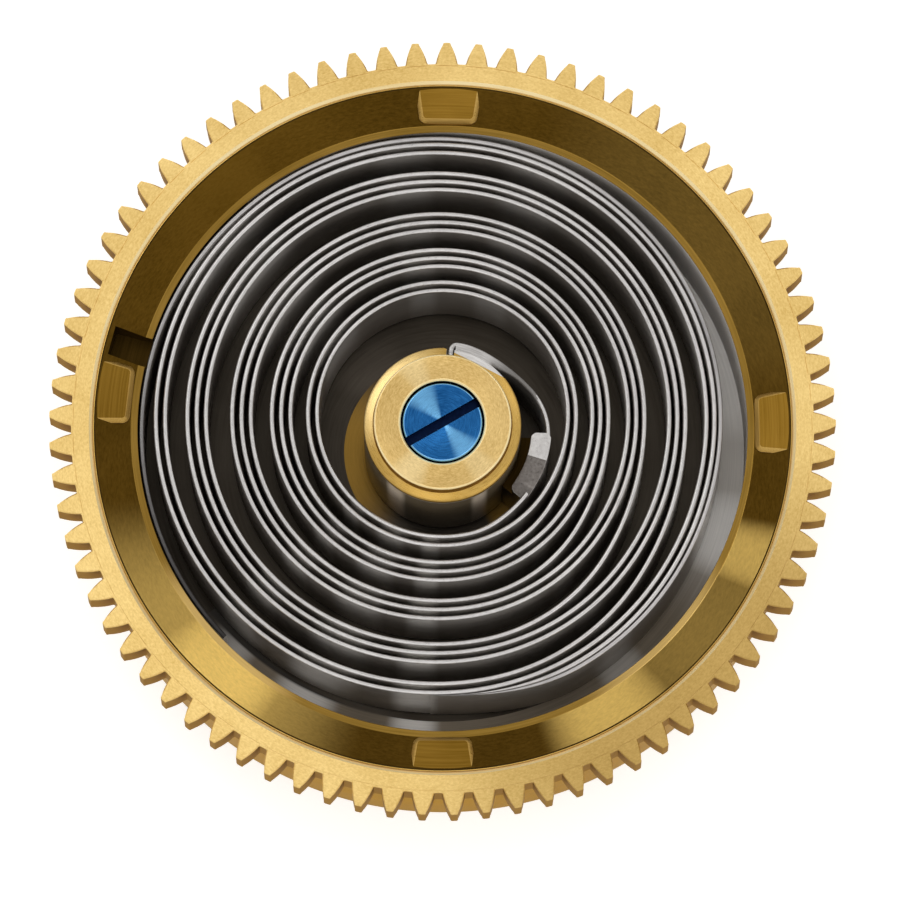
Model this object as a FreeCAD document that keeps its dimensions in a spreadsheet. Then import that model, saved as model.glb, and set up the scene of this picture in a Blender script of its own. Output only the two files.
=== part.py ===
import FreeCAD, Part
import Sketcher
import math
import os

# Mainspring barrel of a pocket watch, open side up, cover taken off.
# Z is the arbor axis, +Y is twelve o'clock on the rim, the drum stands on z = 0. Millimetres.

doc = FreeCAD.newDocument("mainspring_barrel")

# Driving sizes. Angles are degrees: "bearing" runs clockwise from +Y, seen from above.
sizes = {
    # toothed ring
    "teethCount": 77,
    "tipRadius": 10.0,
    "rootRadius": 9.44,
    "toothBaseWidth": 0.56,
    "toothTipWidth": 0.2,
    "toothFlankBow": 0.022,
    "toothTipBevel": 0.05,
    "toothFaceDrop": 0.02,
    "toothPhase": -0.64,
    "ringTop": 4.6,
    "ringThickness": 1.05,
    "ringChamfer": 0.1,
    # drum
    "seatRadius": 8.89,
    "bodyRadius": 9.22,
    "rimDrop": 0.06,
    "rimInnerRadius": 8.83,
    "ledgeOuterRadius": 7.93,
    "ledgeDrop": 0.5,
    "cavityRadius": 7.76,
    "floorUnder": 0.7,
    "floorThickness": 0.45,
    "dishRadius": 8.3,
    "dishTaper": 0.35,
    "footChamfer": 0.15,
    "bossRadius": 2.4,
    "bossDrop": 0.16,
    # cover lugs and pry notch
    "lugWidth": 1.7,
    "lugNarrowing": 0.1,
    "lugStart": 8.8,
    "lugEnd": 7.95,
    "lugSlope": 14.0,
    "lugTopDrop": 0.015,
    "lugCorner": 0.2,
    "lugBevel": 0.1,
    "lugFit": 0.008,
    "lugNorth": 1.0,
    "lugEast": 89.0,
    "lugSouth": 180.0,
    "lugWest": 276.3,
    "notchBearing": 285.0,
    "notchWidth": 0.75,
    "notchOuterRadius": 8.72,
    "notchDepth": 0.55,
    # bush in the floor
    "bushRadius": 1.35,
    "bushFlangeRadius": 1.8,
    "bushFlangeRise": 0.05,
    "bushDrop": 0.06,
    # arbor
    "pivotRadius": 0.55,
    "pivotEnd": 0.05,
    "pivotChamfer": 0.05,
    "journalRadius": 0.85,
    "journalClearance": 0.03,
    "thrustClearance": 0.04,
    "coreRadius": 2.0,
    "coreTop": 4.62,
    "screwHoleDepth": 2.0,
    # cap and screw
    "capFlangeThickness": 0.24,
    "spigotRadius": 1.75,
    "capThickness": 0.54,
    "capChamfer": 0.04,
    "capFlangeChamfer": 0.05,
    "capFlatReach": 1.79,
    "capFlatBearing": 27.0,
    "headRadius": 1.03,
    "headClearance": 0.035,
    "headHeight": 0.4,
    "headChamfer": 0.05,
    "headDrop": 0.03,
    "boreChamfer": 0.05,
    "shankRadius": 0.42,
    "shankClearance": 0.03,
    "shankLength": 1.7,
    "slotWidth": 0.25,
    "slotDepth": 0.2,
    "slotAngle": 30.0,
    # mainspring strip
    "stripThickness": 0.118,
    "stripHeight": 2.78,
    "stripFloorGap": 0.06,
    "hookBearing": 6.0,
    "hookBend": 0.14,
    "hookDepth": 0.16,
    "hookSlotWidth": 0.2,
    "hookSlotDepth": 0.24,
    "wrapGap": 0.2,
    "wrapEnd": 30.0,
    "blockStart": 92.0,
    "blockEnd": 131.0,
    "blockOuterRadius": 2.6,
    "blockGap": 0.03,
    "firstCoilRadius": 3.19,
    "coilPitch": 0.222,
    "groupGapOne": 0.43,
    "groupGapTwo": 0.52,
    "groupGapThree": 0.65,
    "groupGapFour": 0.55,
    "innerCentreX": 0.0,
    "innerCentreY": 0.46,
    "outerCentreX": -0.19,
    "outerCentreY": 0.35,
    "shiftStart": 88.0,
    "shiftEnd": 168.0,
    "springEnd": 181.0,
    "tailRise": 0.19,
    # slipping bridle
    "bridleThickness": 0.118,
    "bridleWallGap": 0.03,
    "bridleStart": 179.5,
    "bridleLeave": 166.0,
    "bridleSettle": 84.0,
    "bridleTip": -134.0,
    "rivetRadius": 0.22,
    "rivetFirst": 176.5,
    "rivetStep": 6.0,
    "rivetPairs": 2,
    # catch block on the arbor
    "blockLipWidth": 0.17,
    "blockLipGap": 0.03,
    "blockLipThickness": 0.16,
    "blockRelief": 0.26,
    "blockReliefDepth": 0.75,
    "blockCorner": 0.07,
    "blockCrease": 107.0,
    "blockBevelStart": 124.0,
    "blockSlopeDrop": 0.1,
    "blockBevelDrop": 0.22,
    "catchPinRadius": 0.2,
    "catchPinDepth": 0.6,
    "catchPinReach": 0.4,
    "catchPinHeight": 1.0,
}

# coils in each close group, from the arbor outwards
coilGroups = (2, 3, 3, 3, 2)
groupGaps = ("groupGapOne", "groupGapTwo", "groupGapThree", "groupGapFour")

sheet = doc.addObject("Spreadsheet::Sheet", "sizes")
for row, (alias, value) in enumerate(sizes.items(), 1):
    sheet.set("A%d" % row, alias)
    sheet.set("B%d" % row, str(value))
    sheet.setAlias("B%d" % row, alias)
doc.recompute()


def size(alias):
    """The value of one cell of the sheet."""
    return float(sheet.get(alias))


def bound(text):
    """An expression in aliases, written the way a property expects it."""
    word = ""
    out = ""
    for letter in text + " ":
        if letter.isalpha():
            word += letter
            continue
        out += "sizes." + word if word in sizes else word
        word = ""
        out += letter
    return out.strip()


# heights that several pieces share, as expressions of the driving sizes
drumTop = "(ringTop - rimDrop)"
ringSeat = "(ringTop - ringThickness)"
ledgeHeight = "(ringTop - rimDrop - ledgeDrop)"
floorTop = "(floorUnder + floorThickness)"
thrustFace = "(floorUnder + floorThickness + bushFlangeRise)"
coreBottom = "(floorUnder + floorThickness + bushFlangeRise + thrustClearance)"
stripBottom = "(floorUnder + floorThickness + stripFloorGap)"
stripTop = "(floorUnder + floorThickness + stripFloorGap + stripHeight)"
capTop = "(coreTop + capThickness)"
headTop = "(coreTop + capThickness - headDrop)"
headSeat = "(coreTop + capThickness - headDrop - headHeight)"


def worked(text):
    """The number that an expression in aliases stands for."""
    sheet.set("D1", "=" + text)
    sheet.recompute()
    return float(sheet.get("D1"))


def newBody(label):
    body = doc.addObject("PartDesign::Body", label)
    body.Label = label
    return body


def originPlane(body, role):
    return next(f for f in body.Origin.OriginFeatures if f.Role == role)


def newSketch(body, label, role):
    sketch = body.newObject("Sketcher::SketchObject", label)
    sketch.AttachmentSupport = [(originPlane(body, role), "")]
    sketch.MapMode = "FlatFace"
    return sketch


def pin(sketch, geometry, end, x, y):
    """Ties one end of a piece of geometry to a place given by two expressions."""
    for kind, text in (("DistanceX", x), ("DistanceY", y)):
        place = worked(text)
        if abs(place) < 1e-9:
            sketch.addConstraint(Sketcher.Constraint("PointOnObject", geometry, end, -2 if kind == "DistanceX" else -1))
            continue
        index = sketch.addConstraint(Sketcher.Constraint(kind, -1, 1, geometry, end, place))
        sketch.setExpression("Constraints[%d]" % index, bound(text))


def outline(sketch, corners):
    """A closed outline of straight lines through corners given as pairs of expressions."""
    places = [FreeCAD.Vector(worked(x), worked(y), 0) for x, y in corners]
    count = len(corners)
    first = sketch.GeometryCount
    for i in range(count):
        sketch.addGeometry(Part.LineSegment(places[i], places[(i + 1) % count]), False)
    for i in range(count):
        sketch.addConstraint(Sketcher.Constraint("Coincident", first + i, 2, first + (i + 1) % count, 1))
    for i, (x, y) in enumerate(corners):
        pin(sketch, first + i, 1, x, y)


def turned(body, label, corners):
    """A piece turned about Z from a half section of (radius, height) corners."""
    section = newSketch(body, label + "_section", "XZ_Plane")
    outline(section, corners)
    turn = body.newObject("PartDesign::Revolution", label + "_turn")
    turn.Profile = section
    turn.ReferenceAxis = (section, ["V_Axis"])
    turn.Angle = 360
    return turn


def setOffset(sketch, height, angle="0", shift="0", tilt="0"):
    """Lifts a sketch on XY to a height, turns it to a bearing, moves it out and tilts it."""
    rise = FreeCAD.Vector(0, 0, worked(height))
    turnBy = FreeCAD.Rotation(FreeCAD.Vector(0, 0, 1), -worked(angle))
    out = turnBy.multVec(FreeCAD.Vector(0, worked(shift), 0))
    tiltBy = FreeCAD.Rotation(FreeCAD.Vector(1, 0, 0), worked(tilt))
    sketch.AttachmentOffset = FreeCAD.Placement(rise + out, turnBy.multiply(tiltBy))
    if shift == "0":
        sketch.setExpression("AttachmentOffset.Base.z", bound(height))


def cutUp(body, label, sketch, height):
    """A pocket that cuts from its sketch towards +Z."""
    pocket = body.newObject("PartDesign::Pocket", label)
    pocket.Profile = sketch
    pocket.Reversed = True
    pocket.Length = worked(height)
    pocket.setExpression("Length", bound(height))
    return pocket


def polar(centre, radius, bearing):
    """The point at a bearing on a circle."""
    turn = math.radians(bearing)
    return FreeCAD.Vector(centre[0] + radius * math.sin(turn), centre[1] + radius * math.cos(turn), 0)


def heading(bearing):
    """The clockwise direction of travel at a bearing."""
    turn = math.radians(bearing)
    return FreeCAD.Vector(math.cos(turn), -math.sin(turn), 0)


def makeToothedRing():
    body = newBody("toothed_ring")
    turned(body, "ring", [
        ("seatRadius", ringSeat),
        ("rootRadius", ringSeat),
        ("rootRadius", "ringTop"),
        ("seatRadius + ringChamfer", "ringTop"),
        ("seatRadius", "ringTop - ringChamfer"),
    ])
    tooth = newSketch(body, "tooth_outline", "XY_Plane")
    setOffset(tooth, ringSeat)
    half = size("toothBaseWidth") / 2
    tip = size("toothTipWidth") / 2
    bevel = size("toothTipBevel")
    base = math.sqrt(size("rootRadius") ** 2 - half ** 2)
    inside = size("rootRadius") - (size("rootRadius") - size("seatRadius")) / 2
    shoulder = size("tipRadius") - bevel
    for side in (-1, 1):
        foot = FreeCAD.Vector(side * half, base, 0)
        corner = FreeCAD.Vector(side * tip, shoulder, 0)
        along = corner - foot
        normal = FreeCAD.Vector(side * along.y, -side * along.x, 0).normalize()
        middle = (foot + corner) * 0.5 + normal * size("toothFlankBow")
        crest = FreeCAD.Vector(side * (tip - bevel), size("tipRadius"), 0)
        inner = FreeCAD.Vector(side * half, inside, 0)
        tooth.addGeometry(Part.LineSegment(inner, foot), False)
        tooth.addGeometry(Part.Arc(foot, middle, corner), False)
        tooth.addGeometry(Part.LineSegment(corner, crest), False)
    left, right = FreeCAD.Vector(-half, inside, 0), FreeCAD.Vector(half, inside, 0)
    tooth.addGeometry(Part.LineSegment(left, right), False)
    tooth.addGeometry(Part.LineSegment(FreeCAD.Vector(bevel - tip, size("tipRadius"), 0),
                                       FreeCAD.Vector(tip - bevel, size("tipRadius"), 0)), False)
    for line in range(tooth.GeometryCount):
        tooth.addConstraint(Sketcher.Constraint("Block", line))
    pad = body.newObject("PartDesign::Pad", "tooth")
    pad.Profile = tooth
    pad.setExpression("Length", bound("ringThickness - toothFaceDrop"))
    around = body.newObject("PartDesign::PolarPattern", "teeth")
    around.Originals = [pad]
    around.Axis = (tooth, ["N_Axis"])
    around.Angle = 360
    around.Occurrences = int(size("teethCount"))
    around.setExpression("Occurrences", bound("teethCount"))
    body.Tip = around
    body.Placement = FreeCAD.Placement(
        FreeCAD.Vector(0, 0, 0), FreeCAD.Rotation(FreeCAD.Vector(0, 0, 1), size("toothPhase")))
    return body


lugNames = ("lugNorth", "lugEast", "lugSouth", "lugWest")


def makeCoverLug(name):
    """A lug for the cover: an upright key with a sloping top, bevelled on its three free sides."""
    body = newBody(name)
    foot = newSketch(body, name + "_outline", "XY_Plane")
    setOffset(foot, ledgeHeight)
    wide, corner = size("lugWidth") / 2, size("lugCorner")
    narrow = wide - size("lugNarrowing")
    near, far = size("lugEnd"), size("lugStart")
    bend = corner * (1 - math.sqrt(0.5))
    ends = [(-narrow + corner, near), (narrow - corner, near), (narrow, near + corner),
            (wide, far), (-wide, far), (-narrow, near + corner)]
    points = [FreeCAD.Vector(x, y, 0) for x, y in ends]
    foot.addGeometry(Part.LineSegment(points[0], points[1]), False)
    foot.addGeometry(Part.Arc(points[1], FreeCAD.Vector(narrow - bend, near + bend, 0), points[2]), False)
    foot.addGeometry(Part.LineSegment(points[2], points[3]), False)
    foot.addGeometry(Part.LineSegment(points[3], points[4]), False)
    foot.addGeometry(Part.LineSegment(points[4], points[5]), False)
    foot.addGeometry(Part.Arc(points[5], FreeCAD.Vector(bend - narrow, near + bend, 0), points[0]), False)
    for line in range(foot.GeometryCount):
        foot.addConstraint(Sketcher.Constraint("Block", line))
    block = body.newObject("PartDesign::Pad", name + "_block")
    block.Profile = foot
    block.setExpression("Length", bound("ledgeDrop - lugTopDrop"))
    wedge = newSketch(body, name + "_slope", "YZ_Plane")
    top = "(ringTop - rimDrop - lugTopDrop)"
    fall = "(lugStart - lugEnd + lugBevel) * tan(lugSlope * 1deg)"
    outline(wedge, [
        ("lugStart", top),
        ("lugEnd - lugBevel", top + " - " + fall),
        ("lugEnd - lugBevel", top + " + lugBevel"),
        ("lugStart", top + " + lugBevel"),
    ])
    plane = body.newObject("PartDesign::Pocket", name + "_top")
    plane.Profile = wedge
    plane.Midplane = True
    plane.setExpression("Length", bound("lugWidth * 2"))
    doc.recompute()
    rim = []
    slant = math.tan(math.radians(size("lugSlope")))
    for index, edge in enumerate(plane.Shape.Edges, 1):
        ends = [v.Point for v in edge.Vertexes]
        onTop = all(abs(end.z - (worked(top) - (far - end.y) * slant)) < 1e-5 for end in ends)
        if onTop and not all(end.y > far - 1e-5 for end in ends):
            rim.append("Edge%d" % index)
    bevel = body.newObject("PartDesign::Chamfer", name + "_bevel")
    bevel.Base = (plane, rim)
    bevel.setExpression("Size", bound("lugBevel"))
    body.Tip = bevel
    body.Placement = FreeCAD.Placement(
        FreeCAD.Vector(0, 0, 0), FreeCAD.Rotation(FreeCAD.Vector(0, 0, 1), -size(name)))
    return body


def makeCoverLugs():
    group = doc.addObject("Part::Compound", "cover_lugs")
    group.Links = [makeCoverLug(name) for name in lugNames]
    return group


def makeDrum():
    body = newBody("drum")
    turned(body, "drum", [
        ("bushRadius", "floorUnder - bossDrop"),
        ("bossRadius", "floorUnder - bossDrop"),
        ("bossRadius", "floorUnder"),
        ("dishRadius - dishTaper", "floorUnder"),
        ("dishRadius", "0"),
        ("bodyRadius - footChamfer", "0"),
        ("bodyRadius", "footChamfer"),
        ("bodyRadius", ringSeat),
        ("seatRadius", ringSeat),
        ("seatRadius", drumTop),
        ("rimInnerRadius", drumTop),
        ("ledgeOuterRadius", ledgeHeight),
        ("cavityRadius", ledgeHeight),
        ("cavityRadius", floorTop),
        ("bushRadius", floorTop),
    ])
    for name in lugNames:
        mortise = newSketch(body, name + "_seat_outline", "XY_Plane")
        setOffset(mortise, ledgeHeight, name)
        inner = "lugWidth / 2 - lugNarrowing + lugFit"
        outer = "lugWidth / 2 + lugFit"
        outline(mortise, [
            ("0 - (" + inner + ")", "ledgeOuterRadius - lugBevel"),
            (inner, "ledgeOuterRadius - lugBevel"),
            (outer, "lugStart + lugFit"),
            ("0 - (" + outer + ")", "lugStart + lugFit"),
        ])
        cutUp(body, name + "_seat", mortise, "ledgeDrop + rimDrop")
    doc.recompute()
    notch = newSketch(body, "notch_outline", "XY_Plane")
    setOffset(notch, ledgeHeight + " - notchDepth", "notchBearing")
    outline(notch, [
        ("0 - notchWidth / 2", "cavityRadius - notchWidth"),
        ("notchWidth / 2", "cavityRadius - notchWidth"),
        ("notchWidth / 2", "notchOuterRadius"),
        ("0 - notchWidth / 2", "notchOuterRadius"),
    ])
    cutUp(body, "notch", notch, "ledgeDrop + notchDepth + rimDrop")
    return body


def makeFloorBush():
    body = newBody("floor_bush")
    bore = "journalRadius + journalClearance"
    turned(body, "bush", [
        (bore, "floorUnder - bossDrop - bushDrop"),
        ("bushRadius", "floorUnder - bossDrop - bushDrop"),
        ("bushRadius", floorTop),
        ("bushFlangeRadius", floorTop),
        ("bushFlangeRadius", thrustFace),
        (bore, thrustFace),
    ])
    return body


def makeArborCore():
    body = newBody("arbor_core")
    journalEnd = "(floorUnder - bossDrop - bushDrop)"
    turned(body, "core", [
        ("0", "pivotEnd"),
        ("pivotRadius - pivotChamfer", "pivotEnd"),
        ("pivotRadius", "pivotEnd + pivotChamfer"),
        ("pivotRadius", journalEnd),
        ("journalRadius", journalEnd),
        ("journalRadius", coreBottom),
        ("coreRadius", coreBottom),
        ("coreRadius", "coreTop"),
        ("0", "coreTop"),
    ])
    thread = newSketch(body, "thread_circle", "XY_Plane")
    setOffset(thread, "coreTop - screwHoleDepth")
    thread.addGeometry(Part.Circle(FreeCAD.Vector(0, 0, 0), FreeCAD.Vector(0, 0, 1), 1), False)
    thread.addConstraint(Sketcher.Constraint("Coincident", 0, 3, -1, 1))
    index = thread.addConstraint(Sketcher.Constraint("Radius", 0, size("shankRadius")))
    thread.setExpression("Constraints[%d]" % index, bound("shankRadius + shankClearance"))
    cutUp(body, "screw_hole", thread, "screwHoleDepth")
    slot = newSketch(body, "hook_slot_outline", "XY_Plane")
    setOffset(slot, coreBottom, "hookBearing")
    outline(slot, [
        ("0 - hookSlotWidth / 2", "coreRadius - hookSlotDepth"),
        ("hookSlotWidth / 2", "coreRadius - hookSlotDepth"),
        ("hookSlotWidth / 2", "coreRadius + hookSlotDepth"),
        ("0 - hookSlotWidth / 2", "coreRadius + hookSlotDepth"),
    ])
    cutUp(body, "hook_slot", slot, "coreTop - " + coreBottom)
    doc.recompute()
    hole = newSketch(body, "pin_circle", "XZ_Plane")
    bearing = worked("(blockStart + blockEnd) / 2")
    turnBy = FreeCAD.Rotation(FreeCAD.Vector(0, 0, 1), -bearing)
    out = polar((0, 0), size("coreRadius") - size("catchPinDepth"), bearing)
    out.z = worked(stripBottom + " + catchPinHeight")
    flat = FreeCAD.Rotation(FreeCAD.Vector(1, 0, 0), 90)
    hole.AttachmentSupport = [(originPlane(body, "XY_Plane"), "")]
    hole.AttachmentOffset = FreeCAD.Placement(out, turnBy.multiply(flat))
    hole.addGeometry(Part.Circle(FreeCAD.Vector(0, 0, 0), FreeCAD.Vector(0, 0, 1), 1), False)
    hole.addConstraint(Sketcher.Constraint("Coincident", 0, 3, -1, 1))
    index = hole.addConstraint(Sketcher.Constraint("Radius", 0, size("catchPinRadius")))
    hole.setExpression("Constraints[%d]" % index, bound("catchPinRadius"))
    drill = body.newObject("PartDesign::Pocket", "pin_hole")
    drill.Profile = hole
    drill.setExpression("Length", bound("catchPinDepth * 2"))
    return body


def makeArborCap():
    body = newBody("arbor_cap")
    shankBore = "shankRadius + shankClearance"
    headBore = "headRadius + headClearance"
    turned(body, "cap", [
        (shankBore, "coreTop"),
        ("coreRadius", "coreTop"),
        ("coreRadius", "coreTop + capFlangeThickness - capFlangeChamfer"),
        ("coreRadius - capFlangeChamfer", "coreTop + capFlangeThickness"),
        ("spigotRadius", "coreTop + capFlangeThickness"),
        ("spigotRadius", capTop + " - capChamfer"),
        ("spigotRadius - capChamfer", capTop),
        (headBore + " + boreChamfer", capTop),
        (headBore, capTop + " - boreChamfer"),
        (headBore, headSeat),
        (shankBore, headSeat),
    ])
    slot = newSketch(body, "cap_slot_outline", "XY_Plane")
    setOffset(slot, "coreTop", "hookBearing")
    outline(slot, [
        ("0 - hookSlotWidth / 2", "coreRadius - hookSlotDepth"),
        ("hookSlotWidth / 2", "coreRadius - hookSlotDepth"),
        ("hookSlotWidth / 2", "coreRadius + hookSlotDepth"),
        ("0 - hookSlotWidth / 2", "coreRadius + hookSlotDepth"),
    ])
    cutUp(body, "cap_slot", slot, "capFlangeThickness")
    flat = newSketch(body, "cap_flat_outline", "XY_Plane")
    setOffset(flat, "coreTop", "capFlatBearing")
    outline(flat, [
        ("0 - coreRadius", "capFlatReach"),
        ("coreRadius", "capFlatReach"),
        ("coreRadius", "coreRadius + hookSlotDepth"),
        ("0 - coreRadius", "coreRadius + hookSlotDepth"),
    ])
    cutUp(body, "cap_flat", flat, "capFlangeThickness")
    return body


def makeCapScrew():
    body = newBody("cap_screw")
    turned(body, "screw", [
        ("0", headSeat + " - shankLength"),
        ("shankRadius", headSeat + " - shankLength"),
        ("shankRadius", headSeat),
        ("headRadius", headSeat),
        ("headRadius", headTop + " - headChamfer"),
        ("headRadius - headChamfer", headTop),
        ("0", headTop),
    ])
    slot = newSketch(body, "driver_slot_outline", "XY_Plane")
    setOffset(slot, headTop + " - slotDepth", "0 - slotAngle")
    outline(slot, [
        ("0 - headRadius * 1.2", "0 - slotWidth / 2"),
        ("headRadius * 1.2", "0 - slotWidth / 2"),
        ("headRadius * 1.2", "slotWidth / 2"),
        ("0 - headRadius * 1.2", "slotWidth / 2"),
    ])
    cutUp(body, "driver_slot", slot, "slotDepth * 2")
    return body


def arcThrough(centre, radius, first, last):
    """Arc pieces of at most a third of a turn on one circle, from one bearing to another."""
    pieces = max(1, math.ceil(abs(last - first) / 120 - 1e-9))
    step = (last - first) / pieces
    return [Part.Arc(polar(centre, radius, first + i * step), polar(centre, radius, first + (i + 0.5) * step),
                     polar(centre, radius, first + (i + 1) * step)) for i in range(pieces)]


def tangentArc(start, along, end):
    """The arc that leaves start along a direction and ends at end."""
    chord = end - start
    normal = FreeCAD.Vector(-along.y, along.x, 0)
    lean = normal.dot(chord)
    if abs(lean) < 1e-9:
        return Part.LineSegment(start, end)
    radius = chord.dot(chord) / (2 * lean)
    centre = start + normal * radius
    middle = (start + end) * 0.5 - centre
    reach = middle.normalize() * abs(radius)
    if reach.dot(start + end - centre * 2) < 0:
        reach = reach * -1
    return Part.Arc(start, centre + reach, end)


def biarc(start, leave, end, arrive):
    """Two arcs that join two points and keep both directions."""
    across = end - start
    both = leave + arrive
    spread = 2 * (1 - leave.dot(arrive))
    if spread < 1e-9:
        reach = across.dot(across) / (4 * across.dot(arrive))
    else:
        lean = across.dot(both)
        reach = (math.sqrt(lean * lean + spread * across.dot(across)) - lean) / spread
    joint = (start + leave * reach + end - arrive * reach) * 0.5
    second = tangentArc(end, arrive * -1, joint)
    middle = second.value((second.FirstParameter + second.LastParameter) / 2)
    return [tangentArc(start, leave, joint), Part.Arc(joint, middle, end)]


def coilRadii():
    """The radius of each coil about its own centre, from the arbor outwards."""
    radii = []
    radius = size("firstCoilRadius")
    for group, count in enumerate(coilGroups):
        if group:
            radius += size(groupGaps[group - 1]) - size("coilPitch")
        for _ in range(count):
            radii.append(radius)
            radius += size("coilPitch")
    return radii


def coilCentres(count):
    """The slack pack lies off the arbor axis, and its centre drifts outwards coil by coil."""
    centres = []
    for i in range(count):
        share = i / (count - 1)
        centres.append((
            size("innerCentreX") + share * (size("outerCentreX") - size("innerCentreX")),
            size("innerCentreY") + share * (size("outerCentreY") - size("innerCentreY")),
        ))
    return centres


def springPath():
    """The middle line of the strip: hook, wrap on the arbor, step round the catch block, then the coils."""
    axis = (0, 0)
    radii = coilRadii()
    centres = coilCentres(len(radii))
    half = size("stripThickness") / 2
    wrap = size("coreRadius") + size("wrapGap") + half
    bend = size("hookBend")
    hook = size("hookBearing")
    outward = FreeCAD.Vector(math.sin(math.radians(hook)), math.cos(math.radians(hook)), 0)
    corner = polar(axis, wrap - bend, hook)
    start = polar(axis, wrap, hook) + heading(hook) * bend
    path = [Part.LineSegment(polar(axis, size("coreRadius") - size("hookDepth"), hook), corner)]
    path.append(tangentArc(corner, outward, start))
    wrapEnd = polar(axis, wrap, size("wrapEnd"))
    path += biarc(start, heading(hook), wrapEnd, heading(size("wrapEnd")))
    blockRadius = size("blockOuterRadius") + size("blockGap") + half
    blockStart = size("blockStart") + 3
    path += biarc(wrapEnd, heading(size("wrapEnd")), polar(axis, blockRadius, blockStart), heading(blockStart))
    path += arcThrough(axis, blockRadius, blockStart, size("blockEnd"))
    leave = polar(axis, blockRadius, size("blockEnd"))
    leaving = heading(size("blockEnd"))
    for i, (centre, radius) in enumerate(zip(centres, radii)):
        arrive = polar(centre, radius, size("shiftEnd"))
        path += biarc(leave, leaving, arrive, heading(size("shiftEnd")))
        last = 360 + size("shiftStart")
        path += arcThrough(centre, radius, size("shiftEnd"), last)
        leave = polar(centre, radius, last)
        leaving = heading(last)
    tail = radii[-1] + size("tailRise")
    path += biarc(leave, leaving, polar(centres[-1], tail, size("shiftEnd")), heading(size("shiftEnd")))
    path += arcThrough(centres[-1], tail, size("shiftEnd"), size("springEnd"))
    return path


def bridlePath():
    """The middle line of the bridle: back to back with the strip's end, round beside it, then along the wall."""
    radius = coilRadii()[-1] + size("tailRise") + (size("stripThickness") + size("bridleThickness")) / 2
    centre = coilCentres(sum(coilGroups))[-1]
    wall = size("cavityRadius") - size("bridleWallGap") - size("bridleThickness") / 2
    # the free run is the circle about the outer coil's centre that touches the wall from inside
    run = wall - math.hypot(centre[0], centre[1])
    touch = math.degrees(math.atan2(centre[0], centre[1]))
    settle = size("bridleSettle")
    path = arcThrough(centre, radius, size("bridleStart"), size("bridleLeave"))
    leave = polar(centre, radius, size("bridleLeave"))
    path += biarc(leave, heading(size("bridleLeave")) * -1, polar(centre, run, settle), heading(settle) * -1)
    path += arcThrough(centre, run, settle, touch)
    path += arcThrough((0, 0), wall, touch, size("bridleTip"))
    return path


def strip(path, thickness, bottom, height):
    """A flat strip on edge along a path: its section is a thin upright rectangle."""
    wire = Part.Wire([curve.toShape() for curve in path])
    first = path[0]
    start = first.value(first.FirstParameter)
    along = first.tangent(first.FirstParameter)[0]
    side = FreeCAD.Vector(-along.y, along.x, 0) * (thickness / 2)
    low = FreeCAD.Vector(0, 0, bottom)
    high = FreeCAD.Vector(0, 0, bottom + height)
    section = Part.makePolygon([start + side + low, start - side + low, start - side + high,
                                start + side + high, start + side + low])
    wire.translate(low)
    return wire.makePipeShell([section], True, False)


def leastGap(path, thickness):
    """The least clear gap between neighbouring turns, measured on points of the middle line."""
    points = []
    travel = 0
    for curve in path:
        steps = 24
        for i in range(steps):
            u = curve.FirstParameter + (curve.LastParameter - curve.FirstParameter) * i / steps
            points.append((travel + curve.length() * i / steps, curve.value(u)))
        travel += curve.length()
    least = math.inf
    for i, (along, point) in enumerate(points):
        for further, other in points[i + 1:]:
            if further - along > 4:
                least = min(least, (point - other).Length)
    return least - thickness, travel


def radialPin(label, radius, bearing, centre, first, last, height):
    """A round pin that lies along a radius."""
    pinObject = doc.addObject("Part::Cylinder", label)
    pinObject.setExpression("Radius", bound(radius))
    pinObject.Height = last - first
    place = polar(centre, first, bearing)
    place.z = height
    lay = FreeCAD.Rotation(FreeCAD.Vector(0, 0, 1), polar((0, 0), 1, bearing))
    pinObject.Placement = FreeCAD.Placement(place, lay)
    return pinObject


def makeSpringAndBridle():
    bottom, height = worked(stripBottom), size("stripHeight")
    path = springPath()
    gap, length = leastGap(path, size("stripThickness"))
    print("mainspring: %d coils, strip %.1f mm long, least gap %.3f mm" % (sum(coilGroups), length, gap))
    blank = strip(path, size("stripThickness"), bottom, height)
    radius = coilRadii()[-1] + size("tailRise")
    centre = coilCentres(sum(coilGroups))[-1]
    back = bridlePath()
    bridleBlank = strip(back, size("bridleThickness"), bottom, height)
    print("bridle: strip %.1f mm long" % sum(curve.length() for curve in back))
    rivets = []
    for i in range(int(size("rivetPairs"))):
        bearing = size("rivetFirst") - i * size("rivetStep")
        rivets.append(radialPin("rivet_%d" % (i + 1), "rivetRadius", bearing, centre,
                                radius - size("stripThickness") / 2,
                                radius + size("stripThickness") / 2 + size("bridleThickness"),
                                bottom + height / 2))
    doc.recompute()
    pair = doc.addObject("Part::Compound", "bridle_rivets")
    pair.Links = rivets
    drilled = []
    for rivet in rivets:
        hole = rivet.Shape.copy()
        drilled.append(hole)
    mainspring = doc.addObject("Part::Feature", "mainspring")
    mainspring.Shape = blank.cut(drilled)
    bridle = doc.addObject("Part::Feature", "bridle")
    bridle.Shape = bridleBlank.cut(drilled)
    return [mainspring, bridle, pair]


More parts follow.
